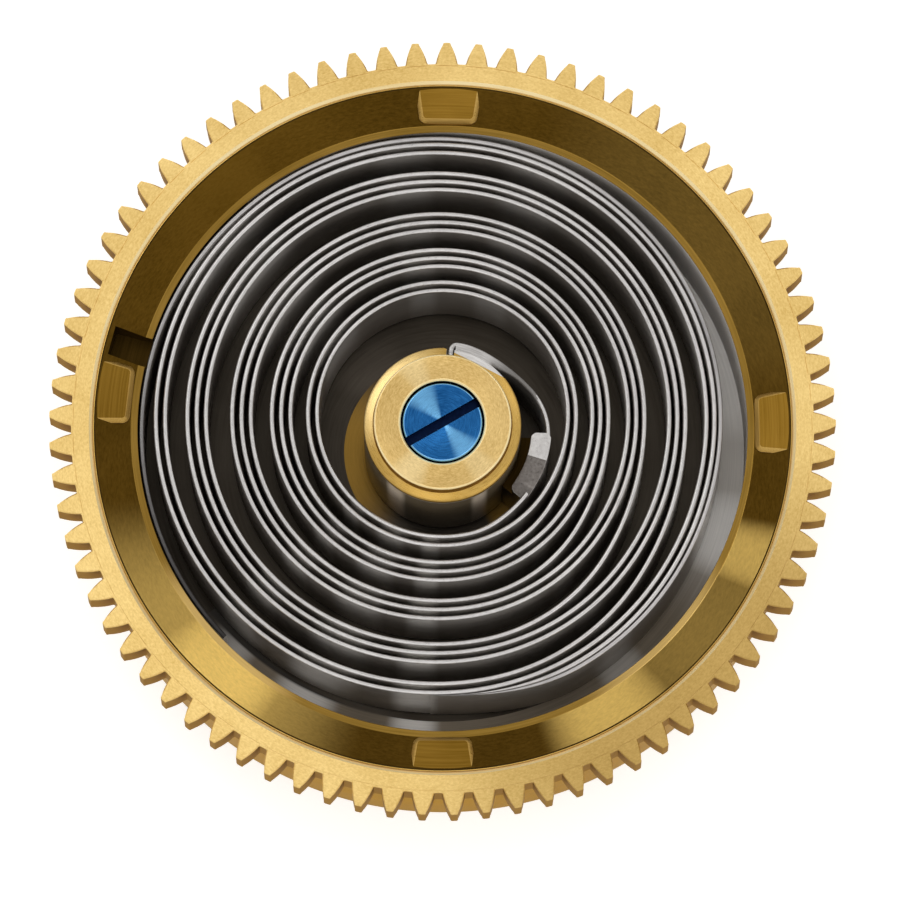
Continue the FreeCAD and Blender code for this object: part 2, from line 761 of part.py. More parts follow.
def makeCatchBlock():
    """The clamp on the arbor: a curved bar with a lip over the strip, seated on the core."""
    body = newBody("catch_block")
    lipUnder = "(" + stripTop + " + blockLipGap)"
    top = "(" + stripTop + " + blockLipGap + blockLipThickness)"
    section = newSketch(body, "block_section", "XZ_Plane")
    outline(section, [
        ("coreRadius", stripBottom),
        ("blockOuterRadius", stripBottom),
        ("blockOuterRadius", lipUnder),
        ("blockOuterRadius + blockLipWidth", lipUnder),
        ("blockOuterRadius + blockLipWidth", top),
        ("coreRadius + blockRelief", top),
        ("coreRadius + blockRelief", top + " - blockReliefDepth"),
        ("coreRadius", top + " - blockReliefDepth"),
    ])
    turn = body.newObject("PartDesign::Revolution", "block")
    turn.Profile = section
    turn.ReferenceAxis = (section, ["V_Axis"])
    turn.Midplane = True
    turn.setExpression("Angle", bound("blockEnd - blockStart"))
    doc.recompute()
    corners = []
    lipHeight = worked(lipUnder)
    for index, edge in enumerate(body.Shape.Edges, 1):
        box = edge.BoundBox
        upright = box.ZMax - box.ZMin > size("blockLipThickness") / 2 and box.XLength < 1e-6
        if upright and edge.CenterOfMass.z > lipHeight:
            corners.append("Edge%d" % index)
    rounds = body.newObject("PartDesign::Fillet", "block_rounds")
    rounds.Base = (turn, corners)
    rounds.setExpression("Radius", bound("blockCorner"))
    doc.recompute()
    side = newSketch(body, "top_slope", "YZ_Plane")
    middle = "(blockStart + blockEnd) / 2"
    crease = "(0 - coreRadius * sin((blockCrease - " + middle + ") * 1deg))"
    bevel = "(0 - coreRadius * sin((blockBevelStart - " + middle + ") * 1deg))"
    end = "(0 - (blockOuterRadius + blockLipWidth) * sin((blockEnd - " + middle + ") * 1deg))"
    outline(side, [
        (crease, top),
        (bevel, top + " - blockSlopeDrop"),
        (end, top + " - blockSlopeDrop - blockBevelDrop"),
        (end, top + " + blockSlopeDrop"),
        (crease, top + " + blockSlopeDrop"),
    ])
    slope = body.newObject("PartDesign::Pocket", "top_facets")
    slope.Profile = side
    slope.Midplane = True
    slope.setExpression("Length", bound("blockOuterRadius * 4"))
    doc.recompute()
    hole = newSketch(body, "pin_seat_circle", "YZ_Plane")
    hole.addGeometry(Part.Circle(FreeCAD.Vector(0, worked(stripBottom + " + catchPinHeight"), 0),
                                 FreeCAD.Vector(0, 0, 1), 1), False)
    hole.addConstraint(Sketcher.Constraint("PointOnObject", 0, 3, -2))
    index = hole.addConstraint(Sketcher.Constraint("DistanceY", -1, 1, 0, 3, worked(stripBottom + " + catchPinHeight")))
    hole.setExpression("Constraints[%d]" % index, bound(stripBottom + " + catchPinHeight"))
    index = hole.addConstraint(Sketcher.Constraint("Radius", 0, size("catchPinRadius")))
    hole.setExpression("Constraints[%d]" % index, bound("catchPinRadius"))
    seat = body.newObject("PartDesign::Pocket", "pin_seat")
    seat.Profile = hole
    seat.Reversed = True
    seat.setExpression("Length", bound("coreRadius + catchPinReach"))
    body.Tip = seat
    turnBy = FreeCAD.Rotation(FreeCAD.Vector(0, 0, 1), 90 - worked(middle))
    body.Placement = FreeCAD.Placement(FreeCAD.Vector(0, 0, 0), turnBy)
    return body


def makeCatchPin():
    bearing = worked("(blockStart + blockEnd) / 2")
    first = size("coreRadius") - size("catchPinDepth")
    last = size("coreRadius") + size("catchPinReach")
    height = worked(stripBottom + " + catchPinHeight")
    return radialPin("catch_pin", "catchPinRadius", bearing, (0, 0), first, last, height)


pieces = [makeDrum(), makeToothedRing(), makeCoverLugs(), makeFloorBush(), makeArborCore(), makeArborCap(), makeCapScrew()]
pieces += makeSpringAndBridle()
pieces += [makeCatchBlock(), makeCatchPin()]
doc.recompute()

for item in doc.Objects:
    if "Invalid" in item.State or "Error" in item.State:
        raise RuntimeError("%s failed: %s" % (item.Label, item.State))
for piece in pieces:
    if piece.Shape.isNull() or not piece.Shape.isValid():
        raise RuntimeError("%s has no valid shape" % piece.Label)

os.makedirs("parts", exist_ok=True)
for piece in pieces:
    piece.Shape.exportStep("parts/%s.step" % piece.Label)
    print("%s: %d solids, %.3f mm3" % (piece.Label, len(piece.Shape.Solids), piece.Shape.Volume))
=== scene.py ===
import math

import bmesh
import bpy
from mathutils import Matrix, Vector


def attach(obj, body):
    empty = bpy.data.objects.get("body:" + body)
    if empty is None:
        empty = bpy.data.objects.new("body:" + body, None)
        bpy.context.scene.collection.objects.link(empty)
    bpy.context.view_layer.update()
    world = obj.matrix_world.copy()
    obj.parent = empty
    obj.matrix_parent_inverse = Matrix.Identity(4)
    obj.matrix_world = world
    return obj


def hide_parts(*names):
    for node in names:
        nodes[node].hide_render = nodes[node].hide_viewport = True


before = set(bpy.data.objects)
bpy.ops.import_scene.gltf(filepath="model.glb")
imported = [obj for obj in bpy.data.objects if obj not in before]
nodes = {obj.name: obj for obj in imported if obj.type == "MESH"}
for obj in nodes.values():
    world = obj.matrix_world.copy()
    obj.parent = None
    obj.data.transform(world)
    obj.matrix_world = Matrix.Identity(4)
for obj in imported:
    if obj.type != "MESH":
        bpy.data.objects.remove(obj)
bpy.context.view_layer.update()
mm = 0.001
print("frame loaded:", len(nodes), "nodes")


# small tools for meshes; sizes are in millimetres, meshes in metres

meshing = {"weld": 2e-7, "sliver": 1e-8, "onAxis": 1e-6, "straight": 1e-9, "edgeShare": 0.45,
           "cornerRows": (0, 0.33, 0.67, 1)}  # weld and sliver in metres


def polar(centre, radius, bearing):
    turn = math.radians(bearing)  # bearing runs clockwise from +Y, seen from above
    return Vector((centre[0] + radius * math.sin(turn), centre[1] + radius * math.cos(turn)))


def heading(bearing):
    turn = math.radians(bearing)
    return Vector((math.cos(turn), -math.sin(turn)))


def curved(start, corner, end, t):
    return start * (1 - t) ** 2 + corner * 2 * t * (1 - t) + end * t * t


def smooth(t):
    return t * t * (3 - 2 * t)


def finished(bm, name, sharp=30):
    bmesh.ops.remove_doubles(bm, verts=bm.verts, dist=meshing["weld"])
    bmesh.ops.dissolve_degenerate(bm, edges=bm.edges, dist=meshing["sliver"])
    bmesh.ops.recalc_face_normals(bm, faces=bm.faces)
    mesh = bpy.data.meshes.new(name)
    bm.to_mesh(mesh)
    bm.free()
    shadeSmooth(mesh, sharp)
    return mesh


def shadeSmooth(mesh, sharp):
    mesh.polygons.foreach_set("use_smooth", [True] * len(mesh.polygons))
    mesh.set_sharp_from_angle(angle=math.radians(sharp))


def addPiece(name, mesh, *materials):
    mesh.materials.clear()
    for material in materials:
        mesh.materials.append(material)
    piece = bpy.data.objects.new(name, mesh)
    bpy.context.scene.collection.objects.link(piece)
    return piece


def paintFaces(piece, choose):
    # choose gives a face's material by its reach, height, upward slope and bearing; None keeps the first
    slots = {material: i for i, material in enumerate(piece.data.materials)}
    for face in piece.data.polygons:
        x, y, z = face.center
        chosen = choose(math.hypot(x, y) / mm, z / mm, face.normal.z, math.degrees(math.atan2(x, y)))
        if chosen is not None:
            face.material_index = slots[chosen]


def dressed(name, mesh, sharp, choose, *materials):
    shadeSmooth(mesh, sharp)
    piece = addPiece(name, mesh, *materials)
    paintFaces(piece, choose)
    return piece


def evaluatedMesh(piece):
    bpy.context.view_layer.update()
    view = bpy.context.evaluated_depsgraph_get()
    mesh = bpy.data.meshes.new_from_object(piece.evaluated_get(view), depsgraph=view)
    mesh.name = piece.name
    bpy.data.objects.remove(piece, do_unlink=True)
    return mesh


def eased(corners, cut, keep=()):
    # every corner of a closed section becomes a small round, apart from those on the axis
    out = []
    count = len(corners)
    for i, corner in enumerate(corners):
        here = Vector(corner)
        before, after = Vector(corners[i - 1]), Vector(corners[(i + 1) % count])
        if here.x < meshing["onAxis"] or i in keep:
            out.append(tuple(here))
            continue
        a = here + (before - here).normalized() * min(cut, (before - here).length * meshing["edgeShare"])
        b = here + (after - here).normalized() * min(cut, (after - here).length * meshing["edgeShare"])
        out += [tuple(curved(a, here, b, t)) for t in meshing["cornerRows"]]
    return out


def turnedPiece(name, corners, sizes, keep=()):
    section, steps = eased(corners, sizes["ease"], keep), sizes["steps"]
    bm = bmesh.new()
    rings = []
    for radius, height in section:
        if radius < meshing["onAxis"]:
            rings.append([bm.verts.new((0, 0, height * mm))] * steps)
            continue
        rings.append([bm.verts.new((radius * mm * math.cos(2 * math.pi * i / steps),
                                    radius * mm * math.sin(2 * math.pi * i / steps), height * mm))
                      for i in range(steps)])
    for low, high in zip(rings, rings[1:] + rings[:1]):
        for i in range(steps):
            j = (i + 1) % steps
            corners = list(dict.fromkeys((low[i], low[j], high[j], high[i])))
            if len(corners) > 2:
                bm.faces.new(corners)
    return addPiece(name, finished(bm, name))


def cutAway(piece, cutter):
    cut = piece.modifiers.new("cut", "BOOLEAN")
    cut.operation = "DIFFERENCE"
    cut.solver = "EXACT"
    cut.object = cutter
    mesh = evaluatedMesh(piece)
    bpy.data.objects.remove(cutter, do_unlink=True)
    return mesh


def softened(piece, width, rows, turn):
    # small rounds on the edges that turn by more than an angle
    soften = piece.modifiers.new("soften", "BEVEL")
    soften.width, soften.segments, soften.limit_method = width * mm, rows, "ANGLE"
    soften.angle_limit = math.radians(turn)
    return evaluatedMesh(piece)


def barMesh(name, length, width, low, high, bearing=90, shift=0):
    # an upright bar whose length lies along a bearing
    bm = bmesh.new()
    bmesh.ops.create_cube(bm, size=1)
    turn = Matrix.Rotation(math.radians(90 - bearing), 4, "Z")
    place = turn @ Matrix.Translation((shift * mm, 0, (low + high) / 2 * mm))
    bmesh.ops.transform(bm, matrix=place @ Matrix.Diagonal((length * mm, width * mm, (high - low) * mm, 1)),
                        verts=bm.verts)
    return finished(bm, name)


# node trees

def put(tree, kind, inputs=None, **settings):
    made = tree.nodes.new(kind)
    for key, value in settings.items():
        setattr(made, key, value)
    for key, value in (inputs or {}).items():
        if isinstance(value, bpy.types.NodeSocket):
            tree.links.new(value, made.inputs[key])
        else:
            made.inputs[key].default_value = value
    return made


def sums(tree, operation, *values):
    return put(tree, "ShaderNodeMath", dict(enumerate(values)), operation=operation).outputs[0]


def mixed(tree, share, first, second):
    mix = put(tree, "ShaderNodeMix", data_type="RGBA")
    for key, value in ((0, share), (6, first), (7, second)):
        if isinstance(value, bpy.types.NodeSocket):
            tree.links.new(value, mix.inputs[key])
        else:
            mix.inputs[key].default_value = value if key == 0 else (*value, 1)
    return mix.outputs[2]


def remapped(tree, value, low, high, newLow, newHigh, kind="LINEAR"):
    return put(tree, "ShaderNodeMapRange", {0: value, 1: low, 2: high, 3: newLow, 4: newHigh},
               interpolation_type=kind).outputs[0]


def noise(tree, vector, scale, detail=2, roughness=0.5):
    return put(tree, "ShaderNodeTexNoise",
               {"Vector": vector, "Scale": scale, "Detail": detail, "Roughness": roughness}).outputs[0]


def patches(tree, east, north, zones):
    # painted light: each patch is a bearing, a half width in degrees and a strength
    tone = None
    for bearing, width, strength in zones:
        turn = math.radians(bearing)
        facing = sums(tree, "ADD", sums(tree, "MULTIPLY", east, math.sin(turn)),
                      sums(tree, "MULTIPLY", north, math.cos(turn)))
        spot = remapped(tree, facing, math.cos(math.radians(width)), 1, 0, strength, "SMOOTHSTEP")
        tone = spot if tone is None else sums(tree, "MAXIMUM", tone, spot)
    return tone


brush = {"lineDetail": 3, "lineRoughness": 0.65, "cloudSize": 0.5, "lineShare": 0.65, "contrast": (0.32, 0.68),
         "lineRange": (0.3, 0.7), "zoneDark": 0.72, "splitSoft": 0.03, "bumpDepth": 0.00001, "offAxis": 0.001}


def brushedMetal(name, look):
    # the lines run round the axis where a look says how long they are along it
    material = bpy.data.materials.new(name)
    material.use_nodes = True
    tree = material.node_tree
    shader = tree.nodes["Principled BSDF"]
    place = put(tree, "ShaderNodeTexCoord").outputs["Object"]
    scaled = put(tree, "ShaderNodeVectorMath", {0: place, 1: (1000, 1000, 1000)}, operation="MULTIPLY").outputs[0]
    axes = put(tree, "ShaderNodeSeparateXYZ", {0: scaled})
    x, y, z = axes.outputs
    radius = sums(tree, "SQRT", sums(tree, "ADD", sums(tree, "MULTIPLY", x, x), sums(tree, "MULTIPLY", y, y)))
    safe = sums(tree, "MAXIMUM", radius, brush["offAxis"])
    east, north = sums(tree, "DIVIDE", x, safe), sums(tree, "DIVIDE", y, safe)
    fine = look["fine"]
    if "along" in look:
        along = look["along"]
        parts = (sums(tree, "MULTIPLY", radius, fine), sums(tree, "MULTIPLY", east, along),
                 sums(tree, "MULTIPLY_ADD", north, along, sums(tree, "MULTIPLY", z, fine)))
    else:
        parts = [sums(tree, "MULTIPLY", axis, fine) for axis in (x, y, z)]
    vector = put(tree, "ShaderNodeCombineXYZ", dict(enumerate(parts))).outputs[0]
    lines = noise(tree, vector, 1.0, brush["lineDetail"], brush["lineRoughness"])
    cloud = noise(tree, scaled, brush["cloudSize"])
    share = sums(tree, "ADD", sums(tree, "MULTIPLY", lines, brush["lineShare"]),
                 sums(tree, "MULTIPLY", cloud, 1 - brush["lineShare"]))
    share = remapped(tree, share, *brush["contrast"], 0, 1)
    colour = mixed(tree, share, look["dark"], look["light"])
    if "zones" in look:  # painted highlights, or painted shade where the patch colour is darker, round the axis at bearings
        paintedTone = mixed(tree, share, [part * brush["zoneDark"] for part in look["zoneColour"]], look["zoneColour"])
        colour = mixed(tree, patches(tree, east, north, look["zones"]), colour, paintedTone)
    # painted shade: darker patches round the axis at bearings
    if "shade" in look:
        colour = mixed(tree, patches(tree, east, north, look["shade"]), colour, look["shadeColour"])
    if "split" in look:  # painted shade inside a circle that is off the axis
        centreX, centreY, reach = look["split"]
        aside, ahead = sums(tree, "SUBTRACT", x, centreX), sums(tree, "SUBTRACT", y, centreY)
        away = sums(tree, "SQRT", sums(tree, "ADD", sums(tree, "MULTIPLY", aside, aside),
                                       sums(tree, "MULTIPLY", ahead, ahead)))
        outside = remapped(tree, away, reach - brush["splitSoft"], reach + brush["splitSoft"], 0, 1)
        colour = mixed(tree, outside, look["shadeColour"], colour)
    tree.links.new(colour, shader.inputs["Base Color"])
    tree.links.new(remapped(tree, lines, *brush["lineRange"], *look["roughness"]), shader.inputs["Roughness"])
    shader.inputs["Metallic"].default_value = look.get("metallic", 1.0)
    shader.inputs["Anisotropic"].default_value = look.get("anisotropic", 0)
    shader.inputs["Specular Tint"].default_value = (*look.get("edge", (1, 1, 1)), 1)
    if "anisotropic" in look:
        tangent = put(tree, "ShaderNodeCombineXYZ",
                      {0: sums(tree, "MULTIPLY", north, -1.0), 1: east, 2: 0.0}).outputs[0]
        tangent = put(tree, "ShaderNodeVectorTransform", {0: tangent}, vector_type="VECTOR",
                      convert_from="OBJECT", convert_to="WORLD").outputs[0]
        tree.links.new(tangent, shader.inputs["Tangent"])
    bump = put(tree, "ShaderNodeBump", {"Strength": look["bump"], "Distance": brush["bumpDepth"], "Height": lines})
    tree.links.new(bump.outputs[0], shader.inputs["Normal"])
    return material


# geometry nodes

def newTree(name, *inputs):
    tree = bpy.data.node_groups.new(name, "GeometryNodeTree")
    tree.interface.new_socket("Geometry", in_out="INPUT", socket_type="NodeSocketGeometry")
    for label, kind in inputs:
        tree.interface.new_socket(label, in_out="INPUT", socket_type="NodeSocket" + kind)
    tree.interface.new_socket("Geometry", in_out="OUTPUT", socket_type="NodeSocketGeometry")
    return tree, tree.nodes.new("NodeGroupInput"), tree.nodes.new("NodeGroupOutput")


def runTree(piece, tree, **values):
    run = piece.modifiers.new(tree.name, "NODES")
    run.node_group = tree
    for item in tree.interface.items_tree:
        if item.item_type == "SOCKET" and item.in_out == "INPUT" and item.name.replace(" ", "") in values:
            run[item.identifier] = values[item.name.replace(" ", "")]
    return evaluatedMesh(piece)


def roundTheAxisTree():
    # copies of the incoming piece, evenly spread round Z and welded
    tree, given, result = newTree("roundTheAxis", ("Count", "Int"), ("Weld", "Float"), ("Material", "Material"))
    points = put(tree, "GeometryNodePoints", {"Count": given.outputs["Count"]})
    index = tree.nodes.new("GeometryNodeInputIndex").outputs[0]
    step = sums(tree, "DIVIDE", 2 * math.pi, given.outputs["Count"])
    turn = put(tree, "ShaderNodeCombineXYZ", {2: sums(tree, "MULTIPLY", index, step)}).outputs[0]
    copies = put(tree, "GeometryNodeInstanceOnPoints",
                 {"Points": points.outputs[0], "Instance": given.outputs["Geometry"]})
    tree.links.new(turn, copies.inputs["Rotation"])
    real = put(tree, "GeometryNodeRealizeInstances", {0: copies.outputs[0]})
    weld = put(tree, "GeometryNodeMergeByDistance", {"Geometry": real.outputs[0], "Distance": given.outputs["Weld"]})
    paint = put(tree, "GeometryNodeSetMaterial",
                {"Geometry": weld.outputs[0], "Material": given.outputs["Material"]})
    tree.links.new(paint.outputs[0], result.inputs[0])
    return tree


def stripTree():
    # a flat strip on edge, swept along the incoming line of points
    tree, given, result = newTree("stripAlongLine", ("Thickness", "Float"), ("Height", "Float"),
                                  ("Edge Round", "Float"), ("Material", "Material"))
    line = put(tree, "GeometryNodeMeshToCurve", {0: given.outputs["Geometry"]})
    normal = put(tree, "GeometryNodeSetCurveNormal", {"Curve": line.outputs[0]}, mode="Z_UP")
    section = put(tree, "GeometryNodeCurvePrimitiveQuadrilateral",
                  {"Width": given.outputs["Thickness"], "Height": given.outputs["Height"]})
    rounded = put(tree, "GeometryNodeFilletCurve",
                  {"Curve": section.outputs[0], "Radius": given.outputs["Edge Round"], "Count": 2}, mode="POLY")
    swept = put(tree, "GeometryNodeCurveToMesh",
                {"Curve": normal.outputs[0], "Profile Curve": rounded.outputs[0], "Fill Caps": True})
    real = put(tree, "GeometryNodeRealizeInstances", {0: swept.outputs[0]})
    paint = put(tree, "GeometryNodeSetMaterial",
                {"Geometry": real.outputs[0], "Material": given.outputs["Material"]})
    tree.links.new(paint.outputs[0], result.inputs[0])
    return tree


# finishes; the patches round the axis are painted light: painted highlights where lighter, painted shade where darker

# the ring's face, with painted shade towards the south-east and the north
goldFace = brushedMetal("goldFace", {
    "fine": 24, "along": 120, "dark": (0.64, 0.42, 0.125), "light": (0.88, 0.64, 0.255),
    "roughness": (0.28, 0.40), "anisotropic": 0.5, "bump": 0.35,
    "zones": ((138, 48, 0.72), (2, 46, 0.22)), "zoneColour": (0.42, 0.255, 0.065)})
# the cap's disc, with painted highlights at the south-west, north-north-west and south-east
goldCap = brushedMetal("goldCap", {
    "fine": 34, "along": 16, "dark": (0.46, 0.29, 0.085), "light": (0.76, 0.54, 0.22),
    "roughness": (0.28, 0.40), "anisotropic": 0.6, "bump": 0.3,
    "zones": ((213, 20, 0.45), (332, 16, 0.35), (140, 16, 0.3)), "zoneColour": (0.93, 0.76, 0.42)})
# the cap's flange step: a darker copy of the cap's brass, painted shade, with a painted highlight at the north-west
goldStep = brushedMetal("goldStep", {
    "fine": 50, "along": 9, "dark": (0.34, 0.20, 0.04), "light": (0.50, 0.32, 0.09),
    "roughness": (0.24, 0.36), "anisotropic": 0.5, "bump": 0.15,
    "zones": ((305, 60, 0.55),), "zoneColour": (0.88, 0.68, 0.33)})
# painted shade: near-black brass for the notch's pocket, the drum's rim lip under the ring and the catch bar's lower
# body
paintedShadeBronze = brushedMetal("paintedShadeBronze", {
    "fine": 22, "along": 3, "dark": (0.022, 0.012, 0.002), "light": (0.055, 0.030, 0.006),
    "roughness": (0.36, 0.48), "bump": 0.1})
# painted highlight: a lighter copy of the brass on chamfers and bevels
goldPaintedHighlight = brushedMetal("goldPaintedHighlight", {
    "fine": 30, "along": 4, "dark": (0.86, 0.64, 0.28), "light": (0.96, 0.80, 0.45),
    "roughness": (0.18, 0.26), "metallic": 0.5, "anisotropic": 0.3, "bump": 0.05})
# painted shade: a darker copy of the brass on the upright side faces
goldSidePaintedShade = brushedMetal("goldSidePaintedShade", {
    "fine": 26, "along": 12, "dark": (0.27, 0.155, 0.026), "light": (0.40, 0.245, 0.055),
    "roughness": (0.36, 0.50), "metallic": 0.8, "edge": (0.46, 0.31, 0.09), "bump": 0.1})
goldTurned = brushedMetal("goldTurned", {
    "fine": 24, "along": 2, "dark": (0.38, 0.235, 0.055), "light": (0.58, 0.385, 0.12),
    "roughness": (0.26, 0.38), "anisotropic": 0.5, "edge": (0.6, 0.42, 0.15), "bump": 0.15})
# the drum's sloping wall: a darker copy of the brass, painted shade, with painted highlights round it
wallPaintedShadeAndHighlights = brushedMetal("wallPaintedShadeAndHighlights", {
    "fine": 18, "along": 60, "dark": (0.046, 0.023, 0.002), "light": (0.092, 0.048, 0.006),
    "roughness": (0.28, 0.40), "anisotropic": 0.6, "bump": 0.12,
    "zones": ((226, 32, 0.50), (222, 15, 1.0), (150, 13, 0.75), (130, 24, 0.22), (113, 7, 0.6), (52, 36, 0.08)),
    "zoneColour": (0.84, 0.56, 0.15)})
# the ledge: a darker copy of the brass, painted shade, with painted highlights at the south-west and south-east
ledgeGold = brushedMetal("ledgeGold", {
    "fine": 30, "along": 3, "dark": (0.16, 0.09, 0.013), "light": (0.28, 0.165, 0.033),
    "roughness": (0.30, 0.40), "anisotropic": 0.4, "bump": 0.1,
    "zones": ((226, 20, 0.6), (134, 20, 0.5)), "zoneColour": (0.8, 0.55, 0.2)})
# the grey floor ring and wall round the spring, with painted highlights round it, painted shade towards the
# south-west and inside the circle of the outer coil
cavityGrey = brushedMetal("cavityGrey", {
    "fine": 20, "along": 2, "dark": (0.165, 0.130, 0.088), "light": (0.28, 0.228, 0.165),
    "roughness": (0.30, 0.42), "metallic": 0.4, "bump": 0.12,
    "zones": ((106, 12, 1.0), (84, 44, 0.55), (141, 6, 0.45), (186, 6, 0.9), (209, 8, 0.8), (227, 6, 0.6),
              (62, 40, 0.95), (20, 30, 0.8)),
    "zoneColour": (0.95, 0.92, 0.88), "shade": ((243, 18, 1.0),), "shadeColour": (0.035, 0.028, 0.020),
    "split": (-0.19, 0.35, 7.33)})
# the floor round the arbor: painted shade over the brass, with patches of brass colour, painted light, at the west
# and south-east
floorGold = brushedMetal("floorGold", {
    "fine": 18, "along": 3, "dark": (0.030, 0.024, 0.018), "light": (0.070, 0.059, 0.046),
    "roughness": (0.30, 0.42), "anisotropic": 0.4, "bump": 0.1,
    "zones": ((268, 58, 0.9), (137, 12, 0.8)), "zoneColour": (0.32, 0.18, 0.032)})
# painted shade on the floor between the coils, with faint painted highlights at the north-west and south-south-west
floorPaintedShade = brushedMetal("floorPaintedShade", {
    "fine": 14, "along": 2, "dark": (0.030, 0.024, 0.018), "light": (0.070, 0.059, 0.046),
    "roughness": (0.34, 0.46), "anisotropic": 0.5, "bump": 0.12,
    "zones": ((320, 22, 0.2), (200, 14, 0.35)), "zoneColour": (0.19, 0.16, 0.13)})
# painted shade: a darker copy of the brass on the lugs' faces
lugPaintedShade = brushedMetal("lugPaintedShade", {
    "fine": 22, "along": 3, "dark": (0.12, 0.060, 0.005), "light": (0.23, 0.126, 0.018),
    "roughness": (0.30, 0.42), "anisotropic": 0.4, "bump": 0.12})
# painted highlight: a lighter copy of the brass on the lugs' bevels
lugEdgePaintedHighlight = brushedMetal("lugEdgePaintedHighlight", {
    "fine": 22, "along": 3, "dark": (0.36, 0.21, 0.045), "light": (0.54, 0.345, 0.10),
    "roughness": (0.26, 0.36), "bump": 0.05})
stripEdge = brushedMetal("stripEdge", {
    "fine": 30, "along": 36, "dark": (0.40, 0.385, 0.375), "light": (0.60, 0.58, 0.565),
    "roughness": (0.26, 0.38), "bump": 0.15})
# the bridle's top edge: dark, with painted light over most of its run, so that it stays dark only towards its tip at
# the south-west
bridleEdge = brushedMetal("bridleEdge", {
    "fine": 30, "along": 36, "dark": (0.020, 0.018, 0.017), "light": (0.045, 0.042, 0.040),
    "roughness": (0.30, 0.42), "bump": 0.15,
    "zones": ((0, 140, 1.0), (130, 100, 1.0)), "zoneColour": (0.48, 0.46, 0.45)})
# the strip's faces, with painted highlights at bearings round the axis
stripFace = brushedMetal("stripFace", {
    "fine": 22, "along": 1.5, "dark": (0.19, 0.165, 0.14), "light": (0.40, 0.365, 0.33),
    "roughness": (0.28, 0.40), "metallic": 0.55, "bump": 0.12,
    "zones": ((186, 6, 0.9), (106, 11, 1.0), (84, 36, 0.5), (141, 5, 0.3), (206, 9, 0.7), (228, 6, 0.6),
              (165, 24, 0.25), (309, 16, 0.7), (20, 9, 0.4), (352, 7, 0.4)),
    "zoneColour": (0.86, 0.83, 0.79)})
# the core's sides, with painted highlights at the south-west and south-south-east
coreSteel = brushedMetal("coreSteel", {
    "fine": 30, "along": 2, "dark": (0.090, 0.068, 0.040), "light": (0.18, 0.138, 0.086),
    "roughness": (0.26, 0.38), "metallic": 0.3, "bump": 0.12,
    "zones": ((217, 10, 1.0), (152, 8, 0.9)), "zoneColour": (0.90, 0.76, 0.60)})
# painted light: a lighter copy of the core's steel for its top face
coreTop = brushedMetal("coreTop", {
    "fine": 40, "along": 4, "dark": (0.42, 0.40, 0.38), "light": (0.72, 0.70, 0.68),
    "roughness": (0.24, 0.34), "bump": 0.1})
# painted highlight: a lighter copy of the strip's steel on the lead-in by the core, with painted shade towards the
# north-east
leadPaintedHighlight = brushedMetal("leadPaintedHighlight", {
    "fine": 24, "along": 3, "dark": (0.34, 0.32, 0.305), "light": (0.74, 0.72, 0.70),
    "roughness": (0.26, 0.38), "metallic": 0.35, "bump": 0.15,
    "shade": ((58, 30, 0.85),), "shadeColour": (0.12, 0.11, 0.10)})
blockSteel = brushedMetal("blockSteel", {
    "fine": 14, "dark": (0.42, 0.40, 0.385), "light": (0.60, 0.58, 0.56),
    "roughness": (0.26, 0.38), "bump": 0.3})
# painted shade: a darker copy of the catch bar's steel on its top facet past the crease
blockPaintedShade = brushedMetal("blockPaintedShade", {
    "fine": 14, "dark": (0.085, 0.074, 0.066), "light": (0.19, 0.172, 0.158),
    "roughness": (0.26, 0.38), "bump": 0.3})
# the screw's blued head, with painted highlights at the north-west and south-east
blueSteel = brushedMetal("blueSteel", {
    "fine": 34, "along": 3, "dark": (0.005, 0.055, 0.18), "light": (0.024, 0.145, 0.38),
    "roughness": (0.20, 0.32), "anisotropic": 0.75, "bump": 0.12,
    "zones": ((322, 30, 0.8), (139, 26, 0.75)), "zoneColour": (0.19, 0.50, 0.82)})
# painted highlight: a lighter copy of the blue on the screw's chamfer and slot edges
bluePaintedHighlight = brushedMetal("bluePaintedHighlight", {
    "fine": 30, "along": 3, "dark": (0.10, 0.32, 0.62), "light": (0.30, 0.58, 0.88),
    "roughness": (0.18, 0.26), "bump": 0.05})
# painted shade: near-black for the screw's slot and the cap's bore
slotPaintedShade = brushedMetal("slotPaintedShade", {
    "fine": 12, "dark": (0.002, 0.004, 0.014), "light": (0.005, 0.012, 0.04),
    "roughness": (0.4, 0.5), "bump": 0.1})
print("finishes made")


# the toothed ring: one pitch of it, spread round the axis

ring = {"teeth": 77, "tip": 10.0, "root": 9.44, "baseHalf": 0.28, "tipHalf": 0.1, "bow": 0.022, "tipRound": 0.05,
        "footRound": 0.035, "bottom": 3.55, "faceTop": 4.6, "toothTop": 4.58, "bevel": 0.028, "step": 9.4,
        "stepRun": 0.02, "seat": 8.89, "chamfer": 0.1, "phase": -0.64, "landRows": 3, "flankRows": 5,
        "tipRows": (0.35, 0.7, 1), "mitre": 0.6, "sharp": 25, "sideSlope": 0.3, "faceSlope": 0.9}


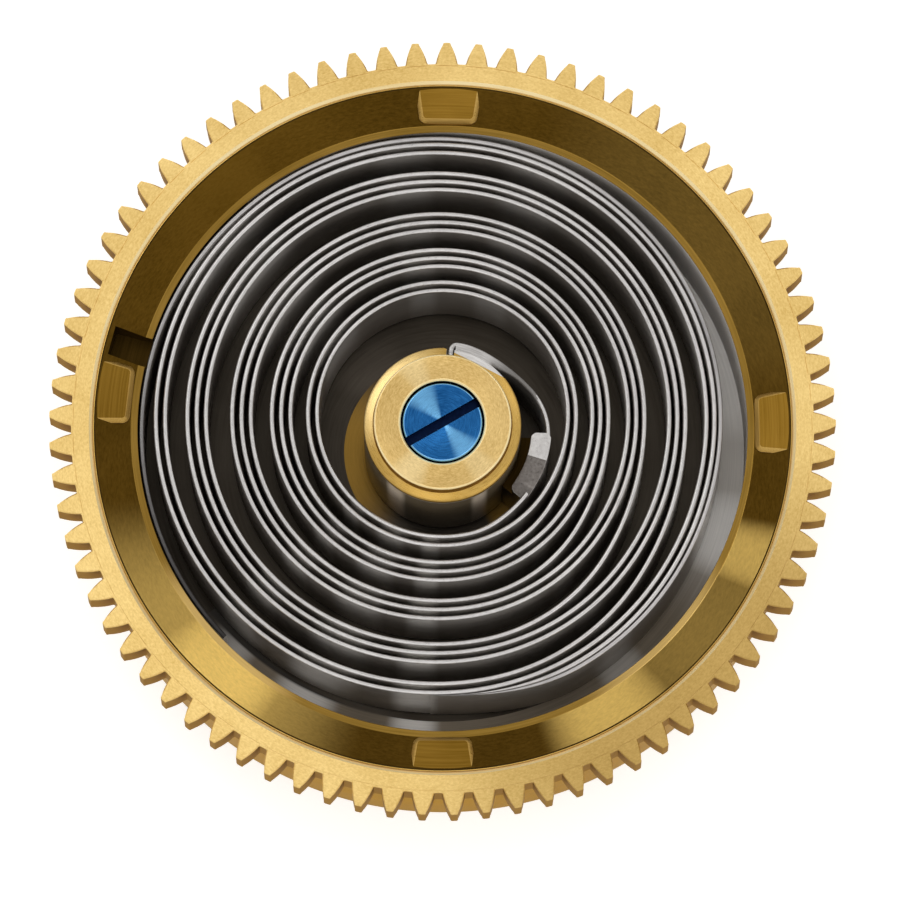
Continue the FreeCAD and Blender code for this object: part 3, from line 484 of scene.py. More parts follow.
def toothOutline():
    base, tip = ring["baseHalf"], ring["tipHalf"]
    foot = Vector((-base, math.sqrt(ring["root"] ** 2 - base ** 2)))
    corner = Vector((-tip, ring["tip"] - ring["tipRound"]))
    across = (corner - foot).orthogonal().normalized()
    if across.x > 0:
        across = -across
    left = []
    edge = math.pi / ring["teeth"]
    landEnd = math.asin((base + ring["footRound"]) / ring["root"])
    for i in range(ring["landRows"] + 1):
        angle = edge + (landEnd - edge) * i / ring["landRows"]
        left.append(Vector((-math.sin(angle), math.cos(angle))) * ring["root"])
    rise = (corner - foot).normalized() * ring["footRound"]
    left.append((left[-1] + foot * 2 + foot + rise) / 4)
    for i in range(ring["flankRows"] + 1):
        share = i / ring["flankRows"]
        t = ring["footRound"] / (corner - foot).length * (1 - share) + share
        left.append(foot.lerp(corner, t) + across * ring["bow"] * 4 * t * (1 - t))
    crest = Vector((-tip + ring["tipRound"], ring["tip"]))
    knee = Vector((-tip, ring["tip"]))
    left += [curved(corner, knee, crest, t) for t in ring["tipRows"]]
    return left + [Vector((-p.x, p.y)) for p in reversed(left)]


def ringSector():
    outline = toothOutline()
    inset = []
    for i, here in enumerate(outline):
        if i in (0, len(outline) - 1):
            inset.append(here - here.normalized() * ring["bevel"])
            continue
        a = (here - outline[i - 1]).normalized()
        b = (outline[i + 1] - here).normalized()
        along = (a + b).normalized()
        out = Vector((-along.y, along.x))
        inset.append(here - out * ring["bevel"] / max(ring["mitre"], out.dot(Vector((-a.y, a.x)))))
    bm = bmesh.new()
    columns = []
    for here, inner in zip(outline, inset):
        ray = inner.normalized()
        stack = [(ray * ring["seat"], ring["bottom"]), (inner, ring["bottom"]),
                 (here, ring["bottom"] + ring["bevel"]), (here, ring["toothTop"] - ring["bevel"]),
                 (inner, ring["toothTop"]), (ray * ring["step"], ring["toothTop"]),
                 (ray * (ring["step"] - ring["stepRun"]), ring["faceTop"]),
                 (ray * (ring["seat"] + ring["chamfer"]), ring["faceTop"]),
                 (ray * ring["seat"], ring["faceTop"] - ring["chamfer"])]
        columns.append([bm.verts.new((p.x * mm, p.y * mm, z * mm)) for p, z in stack])
    for a, b in zip(columns, columns[1:]):
        for k in range(len(a)):
            n = (k + 1) % len(a)
            bm.faces.new((a[k], a[n], b[n], b[k]))
    mesh = bpy.data.meshes.new("ringSector")
    bm.to_mesh(mesh)
    bm.free()
    return mesh


roundTheAxis = roundTheAxisTree()
ringMesh = runTree(addPiece("toothedRing", ringSector()), roundTheAxis,
                   Count=ring["teeth"], Weld=meshing["weld"], Material=goldFace)
ringMesh.transform(Matrix.Rotation(math.radians(ring["phase"]), 4, "Z"))
weld = bmesh.new()
weld.from_mesh(ringMesh)
ringMesh = finished(weld, "toothedRing", ring["sharp"])


def ringLook(reach, height, slope, bearing):
    # painted shade on the side faces, painted highlight on the inner chamfer
    if slope < ring["sideSlope"]:
        return goldSidePaintedShade
    if reach < ring["seat"] + ring["chamfer"] and slope < ring["faceSlope"]:
        return goldPaintedHighlight


toothedRing = dressed("toothedRing", ringMesh, ring["sharp"], ringLook, goldFace, goldSidePaintedShade, goldPaintedHighlight)
print("toothed ring:", len(ringMesh.polygons), "faces")


# the drum

drum = {"floorUnder": 0.7, "floorTop": 1.15, "cavity": 7.76, "ledgeOut": 7.93, "ledge": 4.04, "rimIn": 8.83,
        "rimTop": 4.54, "seat": 8.89, "seatFloor": 3.55, "body": 9.22, "foot": 0.15, "dish": 8.3, "dishIn": 7.95,
        "boss": 2.4, "bossDrop": 0.16, "bush": 1.35, "ease": 0.03, "steps": 360, "sharp": 25,
        "goldFloor": 2.52, "greyFloor": 7.02, "greyStep": 0.02, "darkFrom": -125, "darkTo": -40}
drumPaint = {"rimLine": 0.005, "cavityLine": 0.01, "seatLine": 0.02, "floorDip": 0.04, "below": 0.1}
notch = {"bearing": 285, "width": 0.75, "outer": 8.72, "depth": 0.55, "clear": 5}

drumShell = turnedPiece("drumShell", [
    (drum["bush"], drum["floorUnder"] - drum["bossDrop"]), (drum["boss"], drum["floorUnder"] - drum["bossDrop"]),
    (drum["boss"], drum["floorUnder"]), (drum["dishIn"], drum["floorUnder"]), (drum["dish"], 0.0),
    (drum["body"] - drum["foot"], 0.0), (drum["body"], drum["foot"]), (drum["body"], drum["seatFloor"]),
    (drum["seat"], drum["seatFloor"]), (drum["seat"], drum["rimTop"]), (drum["rimIn"], drum["rimTop"]),
    (drum["ledgeOut"], drum["ledge"]), (drum["cavity"], drum["ledge"]), (drum["cavity"], drum["floorTop"]),
    (drum["greyFloor"] - drum["greyStep"], drum["floorTop"]), (drum["goldFloor"], drum["floorTop"]),
    (drum["bush"], drum["floorTop"])], drum, keep=(7, 8))
notchBar = addPiece("notchBar", barMesh("notchBar", notch["outer"] - drum["cavity"] + notch["width"], notch["width"],
                                        drum["ledge"] - notch["depth"], notch["clear"], notch["bearing"],
                                        (notch["outer"] + drum["cavity"] - notch["width"]) / 2))


def drumLook(reach, height, slope, bearing):
    wallFrom, wallTo = drum["cavity"] + drumPaint["rimLine"], drum["seat"] - drumPaint["seatLine"]
    if height > drum["ledge"] - drumPaint["below"] and wallFrom < reach < wallTo:
        # painted shade on the thin rim lip under the ring's chamfer
        if reach > drum["rimIn"] - drumPaint["rimLine"]:
            return paintedShadeBronze
        # the ledge and the sloping wall: darker copies of the brass, painted shade with painted highlights
        return ledgeGold if reach < drum["ledgeOut"] else wallPaintedShadeAndHighlights
    if height > drum["floorTop"] - drumPaint["floorDip"] and reach < drum["cavity"] + drumPaint["cavityLine"]:
        if reach < drum["goldFloor"]:
            return floorGold
        # painted shade on the floor between the coils, and on the outer floor ring between bearings darkFrom and
        # darkTo
        shaded = drum["darkFrom"] < bearing < drum["darkTo"]
        return floorPaintedShade if shaded or reach <= drum["greyFloor"] else cavityGrey
    # painted shade in the notch's pocket
    if height > drum["floorTop"] and reach < drum["seat"] - drumPaint["below"]:
        return paintedShadeBronze


drumShell = dressed("drumShell", cutAway(drumShell, notchBar), drum["sharp"], drumLook, goldTurned, wallPaintedShadeAndHighlights,
                    ledgeGold, floorGold, floorPaintedShade, cavityGrey, paintedShadeBronze)
print("drum:", len(drumShell.data.polygons), "faces")

bush = {"bore": 0.88, "out": 1.35, "flange": 1.8, "low": 0.48, "floor": 1.15, "top": 1.2, "ease": 0.02,
        "steps": 128}
floorBush = turnedPiece("floorBush", [
    (bush["bore"], bush["low"]), (bush["out"], bush["low"]), (bush["out"], bush["floor"]),
    (bush["flange"], bush["floor"]), (bush["flange"], bush["top"]), (bush["bore"], bush["top"])], bush)
# the bush takes the floor's painted shade and painted light
floorBush.data.materials.append(floorGold)


# the cover lugs

lug = {"half": 0.85, "narrowing": 0.1, "start": 8.8, "end": 7.95, "floor": 4.04, "top": 4.525, "slope": 14,
       "corner": 0.2, "leastCorner": 0.06, "cornerTurn": 18, "cornerRows": 4, "bevel": 0.1,
       "bevelRows": ((0, 1.05), (0.12, 0.93), (0.9, 0.12), (1.12, 0)),  # shares of the bevel, inwards and down
       "bearings": (1, 89, 180, 276.3), "sharp": 20, "edgeTurn": 6}


def lugMesh():
    wide, narrow, corner = lug["half"], lug["half"] - lug["narrowing"], lug["corner"]
    fall = math.tan(math.radians(lug["slope"]))

    def around(shrink):
        near, far = lug["end"] + shrink, lug["start"]
        w, n, c = wide - shrink, narrow - shrink, max(corner - shrink, lug["leastCorner"])
        points = [(w, far), (n, near + c)]
        points += [(n - c + c * math.cos(a), near + c - c * math.sin(a))
                   for a in (math.radians(lug["cornerTurn"] * k) for k in range(1, lug["cornerRows"] + 1))]
        points.append((n - c, near))
        return points + [(-x, y) for x, y in reversed(points)]

    levels = [[(x, y, lug["floor"]) for x, y in around(0)]]
    for inwards, down in lug["bevelRows"]:
        levels.append([(x, y, lug["top"] - (lug["start"] - y) * fall - down * lug["bevel"])
                       for x, y in around(inwards * lug["bevel"])])
    bm = bmesh.new()
    grid = [[bm.verts.new((x * mm, y * mm, z * mm)) for x, y, z in level] for level in levels]
    for low, high in zip(grid, grid[1:]):
        for i in range(len(low)):
            j = (i + 1) % len(low)
            bm.faces.new((low[i], low[j], high[j], high[i]))
    bm.faces.new(grid[0])
    bm.faces.new(grid[-1])
    return bm


lugBase = lugMesh()
lugOne = bpy.data.meshes.new("lug")
bmesh.ops.recalc_face_normals(lugBase, faces=lugBase.faces)
lugBase.to_mesh(lugOne)
lugBase.free()
lugAll = bmesh.new()
for bearing in lug["bearings"]:
    copy = lugOne.copy()
    copy.transform(Matrix.Rotation(math.radians(-bearing), 4, "Z"))
    lugAll.from_mesh(copy)
# lugs: painted shade on the faces, painted highlight on the steeper bevels
steep = math.cos(math.radians(lug["slope"] + lug["edgeTurn"]))
coverLugs = dressed("coverLugs", finished(lugAll, "coverLugs", lug["sharp"]), lug["sharp"],
                    lambda reach, height, slope, bearing: lugEdgePaintedHighlight if slope < steep else None, lugPaintedShade, lugEdgePaintedHighlight)
print("drum dressed")


# the mainspring and its bridle

strip = {"thickness": 0.118, "height": 2.78, "bottom": 1.21, "edge": 0.042, "step": 2.0, "sharp": 50,
         "edgeSlope": 0.35}
coils = {"groups": (2, 3, 3, 3, 2), "gaps": (0.43, 0.52, 0.65, 0.55), "first": 3.19, "pitch": 0.222,
         "innerCentre": (0.0, 0.46), "outerCentre": (-0.19, 0.35), "shiftStart": 88, "shiftEnd": 168,
         "end": 181, "tailRise": 0.19}
leadIn = {"core": 2.0, "hookBearing": 6, "hookBend": 0.14, "hookDepth": 0.16, "wrapGap": 0.2, "wrapEnd": 30,
          "blockStart": 92, "blockLead": 3, "blockEnd": 131, "blockOuter": 2.6, "blockGap": 0.03, "bright": 2.56}
wedge = {"from": 9, "to": 24, "end": 58, "past": 4, "inner": 2.035, "within": 2.9, "skin": 0.01, "points": 70}
ends = {"start": 150, "past": 2, "gap": 0.004, "thin": 0.94}
bridle = {"start": 179.5, "leave": 166, "wall": 7.76, "wallGap": 0.03, "settle": 84, "tip": -134}


def arcPoints(centre, radius, first, last):
    count = max(2, math.ceil(abs(last - first) / strip["step"]))
    return [polar(centre, radius, first + (last - first) * i / count) for i in range(1, count + 1)]


def bentPoints(start, along, end):
    # the arc that leaves start along a direction and ends at end
    chord = end - start
    normal = Vector((-along.y, along.x))
    lean = normal.dot(chord)
    if abs(lean) < meshing["straight"]:
        return [end]
    radius = chord.dot(chord) / (2 * lean)
    centre = start + normal * radius
    first = math.atan2(start.y - centre.y, start.x - centre.x)
    sweep = 2 * math.asin(max(-1, min(1, chord.length / (2 * radius))))
    if chord.dot(along) < 0:
        sweep = math.copysign(2 * math.pi, radius) - sweep
    count = max(4, math.ceil(abs(math.degrees(sweep)) / strip["step"]))
    turns = [first + sweep * i / count for i in range(1, count + 1)]
    return [centre + abs(radius) * Vector((math.cos(turn), math.sin(turn))) for turn in turns]


def joinPoints(start, leave, end, arrive):
    # two arcs that keep both directions
    across = end - start
    both = leave + arrive
    spread = 2 * (1 - leave.dot(arrive))
    if spread < meshing["straight"]:
        reach = across.dot(across) / (4 * across.dot(arrive))
    else:
        lean = across.dot(both)
        reach = (math.sqrt(lean * lean + spread * across.dot(across)) - lean) / spread
    joint = (start + leave * reach + end - arrive * reach) * 0.5
    back = bentPoints(end, -arrive, joint)
    return bentPoints(start, leave, joint) + list(reversed(back[:-1])) + [end]


def coilRadii():
    radii, radius = [], coils["first"]
    for group, count in enumerate(coils["groups"]):
        if group:
            radius += coils["gaps"][group - 1] - coils["pitch"]
        for _ in range(count):
            radii.append(radius)
            radius += coils["pitch"]
    return radii


def coilCentre(share):
    return tuple(a + share * (b - a) for a, b in zip(coils["innerCentre"], coils["outerCentre"]))


def springLine():
    axis, half = (0, 0), strip["thickness"] / 2
    wrap = leadIn["core"] + leadIn["wrapGap"] + half
    hook = leadIn["hookBearing"]
    corner = polar(axis, wrap - leadIn["hookBend"], hook)
    start = polar(axis, wrap, hook) + heading(hook) * leadIn["hookBend"]
    line = [polar(axis, leadIn["core"] - leadIn["hookDepth"], hook), corner]
    line += bentPoints(corner, polar(axis, 1, hook), start)
    wrapEnd = polar(axis, wrap, leadIn["wrapEnd"])
    line += joinPoints(start, heading(hook), wrapEnd, heading(leadIn["wrapEnd"]))
    clamp = leadIn["blockOuter"] + leadIn["blockGap"] + half
    clampStart = leadIn["blockStart"] + leadIn["blockLead"]
    line += joinPoints(wrapEnd, heading(leadIn["wrapEnd"]), polar(axis, clamp, clampStart), heading(clampStart))
    line += arcPoints(axis, clamp, clampStart, leadIn["blockEnd"])
    last = leadIn["blockEnd"]
    radii = coilRadii()
    for i, radius in enumerate(radii):
        centre = coilCentre(i / (len(radii) - 1))
        arrive = polar(centre, radius, coils["shiftEnd"])
        line += joinPoints(line[-1], heading(last), arrive, heading(coils["shiftEnd"]))
        last = 360 + coils["shiftStart"]
        line += arcPoints(centre, radius, coils["shiftEnd"], last)
    tail = radii[-1] + coils["tailRise"]
    line += joinPoints(line[-1], heading(last), polar(centre, tail, coils["shiftEnd"]), heading(coils["shiftEnd"]))
    return line + arcPoints(centre, tail, coils["shiftEnd"], coils["end"])


def bridleLine():
    centre = coilCentre(1)
    radius = coilRadii()[-1] + coils["tailRise"] + strip["thickness"]
    wall = bridle["wall"] - bridle["wallGap"] - strip["thickness"] / 2
    run = wall - math.hypot(*centre)  # this circle about the outer coil's centre touches the wall from inside
    touch = math.degrees(math.atan2(*centre))
    line = [polar(centre, radius, bridle["start"])] + arcPoints(centre, radius, bridle["start"], bridle["leave"])
    settled = polar(centre, run, bridle["settle"])
    line += joinPoints(line[-1], -heading(bridle["leave"]), settled, -heading(bridle["settle"]))
    line += arcPoints(centre, run, bridle["settle"], touch)
    return line + arcPoints((0, 0), wall, touch, bridle["tip"])


def drawnIn(bm):
    # both free ends thin out against the outer coil
    centre = Vector(coilCentre(1))
    start, foot = ends["start"], (coilRadii()[-1] + strip["thickness"] / 2 + ends["gap"]) * mm
    for vert in bm.verts:
        out = vert.co.to_2d() - centre * mm
        bearing = math.degrees(math.atan2(out.x, out.y)) % 360
        if start < bearing < coils["end"] + ends["past"] and out.length > foot:
            t = min(1, (bearing - start) / (coils["end"] - start))
            share = 1 - ends["thin"] * smooth(t)
            moved = centre * mm + out.normalized() * (foot + (out.length - foot) * share)
            vert.co.x, vert.co.y = moved


def broadened(bm):
    # the lead-in shows as a wedge, bright with a painted highlight, that narrows away from the core
    line = [(math.degrees(math.atan2(p.x, p.y)), p.length) for p in springLine()[:wedge["points"]]]
    line = [point for point in line if wedge["from"] < point[0] < wedge["end"] + wedge["past"]]
    for vert in bm.verts:
        flat = vert.co.to_2d() / mm
        bearing = math.degrees(math.atan2(flat.x, flat.y))
        if flat.length > wedge["within"] or not wedge["from"] < bearing < wedge["end"]:
            continue
        middle = min(line, key=lambda point: abs(point[0] - bearing))[1]
        if flat.length < middle - wedge["skin"]:
            t = min(1, (wedge["end"] - bearing) / (wedge["end"] - wedge["to"]))
            reach = flat.length + (wedge["inner"] - flat.length) * smooth(t)
            vert.co.x, vert.co.y = flat.normalized() * reach * mm


def stripPiece(name, line):
    path = bpy.data.meshes.new(name)
    middle = strip["bottom"] + strip["height"] / 2
    points = [(p.x * mm, p.y * mm, middle * mm) for p in line]
    path.from_pydata(points, [(i, i + 1) for i in range(len(points) - 1)], [])
    swept = runTree(addPiece(name, path), stripAlongLine, Thickness=strip["thickness"] * mm,
                    Height=strip["height"] * mm, EdgeRound=strip["edge"] * mm, Material=stripFace)
    bm = bmesh.new()
    bm.from_mesh(swept)
    drawnIn(bm)
    if name == "mainspringStrip":
        broadened(bm)
    edgeLook = stripEdge if name == "mainspringStrip" else bridleEdge
    piece = addPiece(name, finished(bm, name, strip["sharp"]), stripFace, edgeLook, leadPaintedHighlight)

    def stripLook(reach, height, slope, bearing):
        # painted highlight on the lead-in near the core
        if reach < leadIn["bright"] and abs(bearing) < 90:
            return leadPaintedHighlight
        if abs(slope) > strip["edgeSlope"]:
            return edgeLook

    paintFaces(piece, stripLook)
    print(name + ":", len(piece.data.polygons), "faces")
    return piece


stripAlongLine = stripTree()
mainspringStrip = stripPiece("mainspringStrip", springLine())
bridleStrip = stripPiece("bridleStrip", bridleLine())

rivet = {"radius": 0.22, "bearings": (176.5, 170.5), "head": 0.004, "segments": 48}


def rivetPair():
    bm = bmesh.new()
    centre = coilCentre(1)
    inner = coilRadii()[-1] + coils["tailRise"] - strip["thickness"] / 2
    outer = inner + 2 * strip["thickness"]
    middle = strip["bottom"] + strip["height"] / 2
    for bearing in rivet["bearings"]:
        lay = Matrix.Rotation(math.radians(90 - bearing), 4, "Z") @ Matrix.Rotation(math.radians(90), 4, "Y")
        centreAt = polar(centre, (inner + outer) / 2, bearing)
        place = Matrix.Translation((centreAt.x * mm, centreAt.y * mm, middle * mm)) @ lay
        bmesh.ops.create_cone(bm, cap_ends=True, segments=rivet["segments"], radius1=rivet["radius"] * mm,
                              radius2=rivet["radius"] * mm, depth=(outer - inner + rivet["head"]) * mm, matrix=place)
    drawnIn(bm)
    return finished(bm, "rivetPair")


rivets = addPiece("rivetPair", rivetPair(), stripFace)


# the arbor

core = {"pivot": 0.55, "pivotEnd": 0.05, "pivotBevel": 0.05, "journal": 0.85, "journalEnd": 0.48, "bottom": 1.24,
        "radius": 2.0, "top": 4.62, "slotDepth": 0.24, "slotWidth": 0.2, "slotFrom": 1, "slotTo": 5, "bearing": 6,
        "ease": 0.02, "steps": 256, "topSkin": 0.03, "sharp": 30}
arborCore = turnedPiece("arborCore", [
    (0, core["pivotEnd"]), (core["pivot"] - core["pivotBevel"], core["pivotEnd"]),
    (core["pivot"], core["pivotEnd"] + core["pivotBevel"]), (core["pivot"], core["journalEnd"]),
    (core["journal"], core["journalEnd"]), (core["journal"], core["bottom"]), (core["radius"], core["bottom"]),
    (core["radius"], core["top"]), (0, core["top"])], core)


def hookSlot(low, high):
    # the slot for the strip's hook runs through core and cap
    return addPiece("slotBar", barMesh("slotBar", core["slotDepth"] * 2, core["slotWidth"], low, high,
                                       core["bearing"], core["radius"]))


# painted light: the top face gets a lighter copy of the core's steel
arborCore = dressed("arborCore", cutAway(arborCore, hookSlot(core["slotFrom"], core["slotTo"])), core["sharp"],
                    lambda reach, height, slope, bearing:
                    coreTop if height > core["top"] - core["topSkin"] else None, coreSteel, coreTop)

cap = {"bottom": 4.62, "flangeTop": 4.86, "top": 5.16, "flange": 2.0, "spigot": 1.75, "bevel": 0.04, "bore": 1.065,
       "fall": 0.06, "flangeEdge": 0.03, "foot": 0.02, "boreBevel": 0.05, "shank": 0.45, "seat": 4.73, "ease": 0.015,
       "steps": 256, "slotFrom": 4, "slotClear": 0.1, "sharp": 30}
capFlat = {"reach": 1.79, "bearing": 27, "deep": 0.6, "wide": 4, "from": 4, "clear": 0.05}
capPaint = {"boreSkin": 0.001, "boreLine": 0.01, "boreSlope": 0.3, "sideSlope": 0.25, "faceSlope": 0.93}
arborCap = turnedPiece("arborCap", [
    (cap["shank"], cap["bottom"]), (cap["flange"], cap["bottom"]),
    (cap["flange"], cap["flangeTop"] - cap["fall"] - cap["flangeEdge"]),
    (cap["flange"] - cap["flangeEdge"], cap["flangeTop"] - cap["fall"]),
    (cap["spigot"] + cap["foot"], cap["flangeTop"]), (cap["spigot"], cap["flangeTop"] - cap["foot"]),
    (cap["spigot"], cap["top"] - cap["bevel"]), (cap["spigot"] - cap["bevel"], cap["top"]),
    (cap["bore"] + cap["boreBevel"], cap["top"]), (cap["bore"], cap["top"] - cap["boreBevel"]),
    (cap["bore"], cap["seat"]), (cap["shank"], cap["seat"])], cap)
arborCap = addPiece("arborCap", cutAway(arborCap, hookSlot(cap["slotFrom"], cap["flangeTop"] + cap["slotClear"])))
flatBar = addPiece("flatBar", barMesh("flatBar", capFlat["deep"], capFlat["wide"], capFlat["from"],
                                      cap["flangeTop"] + capFlat["clear"], capFlat["bearing"],
                                      capFlat["reach"] + capFlat["deep"] / 2))


def capLook(reach, height, slope, bearing):
    # painted shade in the bore and on the side faces, painted highlight on the bevels
    onBore = reach < cap["bore"] + capPaint["boreLine"] and slope < capPaint["boreSlope"]
    if onBore or reach < cap["bore"] - capPaint["boreSkin"]:
        return slotPaintedShade
    if slope <= capPaint["sideSlope"]:
        return goldSidePaintedShade
    if reach > cap["spigot"]:
        return goldStep
    if slope < capPaint["faceSlope"]:
        return goldPaintedHighlight


arborCap = dressed("arborCap", cutAway(arborCap, flatBar), cap["sharp"], capLook, goldCap, goldPaintedHighlight, goldSidePaintedShade,
                   slotPaintedShade, goldStep)

screw = {"bottom": 3.03, "shank": 0.42, "seat": 4.73, "head": 1.03, "top": 5.13, "bevel": 0.05, "slotWidth": 0.25,
         "slotDepth": 0.2, "slotAngle": 30, "slotEdge": 0.018, "slotRows": 2, "slotTurn": 60, "slotLong": 3,
         "slotClear": 6, "ease": 0.02, "steps": 192, "sharp": 30, "darkBelow": 0.12, "edgeSlopes": (0.3, 0.95)}
capScrew = turnedPiece("capScrew", [
    (0, screw["bottom"]), (screw["shank"], screw["bottom"]), (screw["shank"], screw["seat"]),
    (screw["head"], screw["seat"]), (screw["head"], screw["top"] - screw["bevel"]),
    (screw["head"] - screw["bevel"], screw["top"]), (0, screw["top"])], screw)
driverBar = addPiece("driverBar", barMesh("driverBar", screw["slotLong"], screw["slotWidth"],
                                          screw["top"] - screw["slotDepth"], screw["slotClear"],
                                          90 - screw["slotAngle"]))
capScrew = addPiece("capScrew", cutAway(capScrew, driverBar))
screwMesh = softened(capScrew, screw["slotEdge"], screw["slotRows"], screw["slotTurn"])


def screwLook(reach, height, slope, bearing):
    # painted shade in the slot, painted highlight on the chamfer and slot edges
    if height < screw["top"] - screw["darkBelow"]:
        return slotPaintedShade
    if screw["edgeSlopes"][0] < slope < screw["edgeSlopes"][1]:
        return bluePaintedHighlight


capScrew = dressed("capScrew", screwMesh, screw["sharp"], screwLook, blueSteel, slotPaintedShade, bluePaintedHighlight)
print("arbor turned")


# the catch bar beside the core

catch = {"inner": 2.0, "outer": 2.6, "lip": 0.17, "lipLow": 4.02, "lipLeast": 0.03, "lipStep": 0.02, "top": 4.18,
         "relief": 0.26, "reliefDepth": 0.75, "bottom": 1.21, "start": 92, "end": 131, "crease": 107,
         "bevelAt": 124, "slopeDrop": 0.1, "endDrop": 0.22, "corner": 0.12, "cornerTurn": 3, "rowTurn": 3,
         "endRows": (0.4, 0.9, 1.6, 2.4), "edge": 0.03, "edgeRows": 3, "edgeTurn": 40, "sharp": 35}
catchPaint = {"topSkin": 0.36, "topSlope": 0.75, "below": 0.2}


def catchMesh():
    bearings = sorted({catch["crease"], catch["bevelAt"], catch["end"]}
                      | set(range(catch["start"], catch["end"], catch["rowTurn"]))
                      | {end + turn * k for end, turn in ((catch["start"], 1), (catch["end"], -1))
                         for k in catch["endRows"]})
    bm = bmesh.new()
    rows = []
    for bearing in bearings:
        slope = (bearing - catch["crease"]) / (catch["bevelAt"] - catch["crease"])
        fall = (bearing - catch["bevelAt"]) / (catch["end"] - catch["bevelAt"])
        top = catch["top"] - catch["slopeDrop"] * min(1, max(0, slope)) - catch["endDrop"] * max(0, fall)
        lipLow = min(catch["lipLow"], top - catch["lipLeast"])
        fromEnd = min(bearing - catch["start"], catch["end"] - bearing)
        rounding = catch["corner"] * max(0, 1 - fromEnd / catch["cornerTurn"]) ** 2
        lipOut = max(catch["outer"] + catch["lip"] - rounding, catch["outer"] + catch["lipStep"])
        shelf, shelfLow = catch["inner"] + catch["relief"] + rounding, catch["top"] - catch["reliefDepth"]
        section = [(catch["inner"], catch["bottom"]), (catch["outer"], catch["bottom"]), (catch["outer"], lipLow),
                   (lipOut, lipLow), (lipOut, top), (shelf, top), (shelf, shelfLow), (catch["inner"], shelfLow)]
        row = []
        for radius, height in section:
            p = polar((0, 0), radius, bearing)
            row.append(bm.verts.new((p.x * mm, p.y * mm, height * mm)))
        rows.append(row)
    for a, b in zip(rows, rows[1:]):
        for k in range(len(a)):
            n = (k + 1) % len(a)
            bm.faces.new((a[k], a[n], b[n], b[k]))
    bm.faces.new(rows[0])
    bm.faces.new(rows[-1])
    return finished(bm, "catchBar")


catchBar = addPiece("catchBar", catchMesh(), blockSteel)
catchSoft = softened(catchBar, catch["edge"], catch["edgeRows"], catch["edgeTurn"])


def catchLook(reach, height, slope, bearing):
    # painted shade on the lower body and on the top facet past the crease
    if height < catch["lipLow"] - catchPaint["below"]:
        return paintedShadeBronze
    onTop = height > catch["top"] - catchPaint["topSkin"] and slope > catchPaint["topSlope"]
    if onTop and bearing > catch["crease"]:
        return blockPaintedShade


catchBar = dressed("catchBar", catchSoft, catch["sharp"], catchLook, blockSteel, blockPaintedShade, paintedShadeBronze)
print("catch bar made")


# what rides on what

for piece, body, slot, node in (
        (toothedRing, "barrel", "brass_ring", "toothed_ring"), (drumShell, "barrel", "brass_drum", "drum"),
        (floorBush, "barrel", "brass_bush", "floor_bush"), (coverLugs, "barrel", "brass_lugs", "cover_lugs"),
        (mainspringStrip, "bridle_end", "spring_steel", "mainspring"),
        (bridleStrip, "bridle_end", "bridle_steel", "bridle"), (rivets, "bridle_end", "rivet_steel", "bridle_rivets"),
        (arborCore, "arbor", "arbor_steel", "arbor_core"), (arborCap, "arbor", "brass_cap", "arbor_cap"),
        (capScrew, "arbor", "blued_steel", "cap_screw"), (catchBar, "arbor", "block_steel", "catch_block")):
    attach(piece, body)
    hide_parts(node)
pinObject = nodes["catch_pin"]
pinObject.data.materials.clear()
pinObject.data.materials.append(blockSteel)


# floor, light and camera

studio = {"floorHalf": 0.3, "floorColour": (0.82, 0.82, 0.82), "floorRoughness": 0.9, "floorGlow": 0.5,
          "worldLight": 0.8}  # lengths in metres

floorMesh = bpy.data.meshes.new("studioFloor")
half = studio["floorHalf"]
floorMesh.from_pydata([(-half, -half, 0), (half, -half, 0), (half, half, 0), (-half, half, 0)], [], [(0, 1, 2, 3)])
studioFloor = addPiece("studioFloor", floorMesh)
floorPaint = bpy.data.materials.new("paleFloor")
floorPaint.use_nodes = True
floorTree = floorPaint.node_tree
floorShader = floorTree.nodes["Principled BSDF"]
floorShader.inputs["Base Color"].default_value = (*studio["floorColour"], 1)
floorShader.inputs["Roughness"].default_value = studio["floorRoughness"]
floorShader.inputs["Emission Color"].default_value = (1, 1, 1, 1)


def seenDirectly(tree):
    # 1 for rays that show the floor or the sky itself, 0 for the light that they give
    path = put(tree, "ShaderNodeLightPath").outputs
    seen = sums(tree, "MAXIMUM", path["Is Camera Ray"], path["Is Glossy Ray"])
    return sums(tree, "MAXIMUM", seen, path["Is Transmission Ray"])


floorTree.links.new(sums(floorTree, "MULTIPLY", seenDirectly(floorTree), studio["floorGlow"]),
                    floorShader.inputs["Emission Strength"])
floorMesh.materials.append(floorPaint)

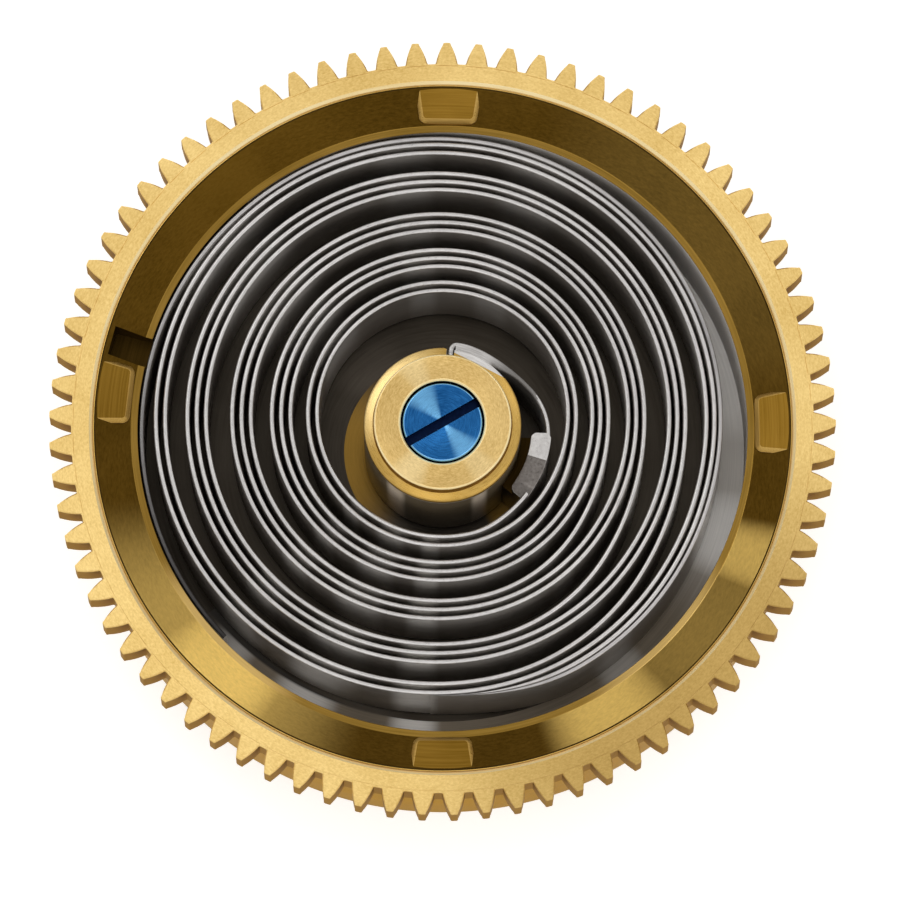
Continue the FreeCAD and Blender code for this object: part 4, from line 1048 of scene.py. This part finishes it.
world = bpy.data.worlds.new("studio")
bpy.context.scene.world = world
world.use_nodes = True
worldTree = world.node_tree
background = worldTree.nodes["Background"]
background.inputs["Color"].default_value = (1, 1, 1, 1)
worldTree.links.new(remapped(worldTree, seenDirectly(worldTree), 0, 1, studio["worldLight"], 1.0),
                    background.inputs["Strength"])


def softLamp(name, azimuth, elevation, distance, width, height, brightness):
    lamp = bpy.data.lights.new(name, "AREA")
    lamp.shape = "RECTANGLE"
    lamp.size, lamp.size_y = width, height
    lamp.energy = brightness * math.pi * width * height
    holder = bpy.data.objects.new(name, lamp)
    bpy.context.scene.collection.objects.link(holder)
    a, e = math.radians(azimuth), math.radians(elevation)
    direction = Vector((math.sin(a) * math.cos(e), math.cos(a) * math.cos(e), math.sin(e)))
    holder.location = direction * distance
    holder.rotation_euler = direction.to_track_quat("Z", "Y").to_euler()


lamps = {  # azimuth and elevation in degrees, distance, width and height in metres, brightness
    "keyLamp": (-45, 55, 0.20, 0.07, 0.06, 2.6), "fillLamp": (128, 52, 0.20, 0.06, 0.05, 2.0),
    "topLamp": (196, 68, 0.24, 0.08, 0.08, 1.6), "sideLamp": (48, 50, 0.20, 0.05, 0.05, 1.6)}
for name, setting in lamps.items():
    softLamp(name, *setting)

# the camera stands over the arbor and leans to the south; distance in metres, scale in millimetres for a pixel
view = {"distance": 0.3, "tilt": 11, "scale": 0.0254, "pixels": 900, "aim": (0.19, -0.62, 4.6), "sensor": 36,
        "clip": (0.01, 5)}
camera = bpy.data.cameras.new("photoCamera")
camera.sensor_width = view["sensor"]
camera.lens = view["sensor"] * view["distance"] / (view["pixels"] * view["scale"] * mm)
camera.clip_start, camera.clip_end = view["clip"]
cameraHolder = bpy.data.objects.new("photoCamera", camera)
bpy.context.scene.collection.objects.link(cameraHolder)
lean = Matrix.Rotation(math.radians(view["tilt"]), 4, "X")
cameraHolder.matrix_world = Matrix.Translation(Vector(view["aim"]) * mm) @ lean @ Matrix.Translation(
    (0, 0, view["distance"]))
bpy.context.scene.camera = cameraHolder
bpy.context.scene.view_settings.view_transform = "Standard"

print("scene ready")
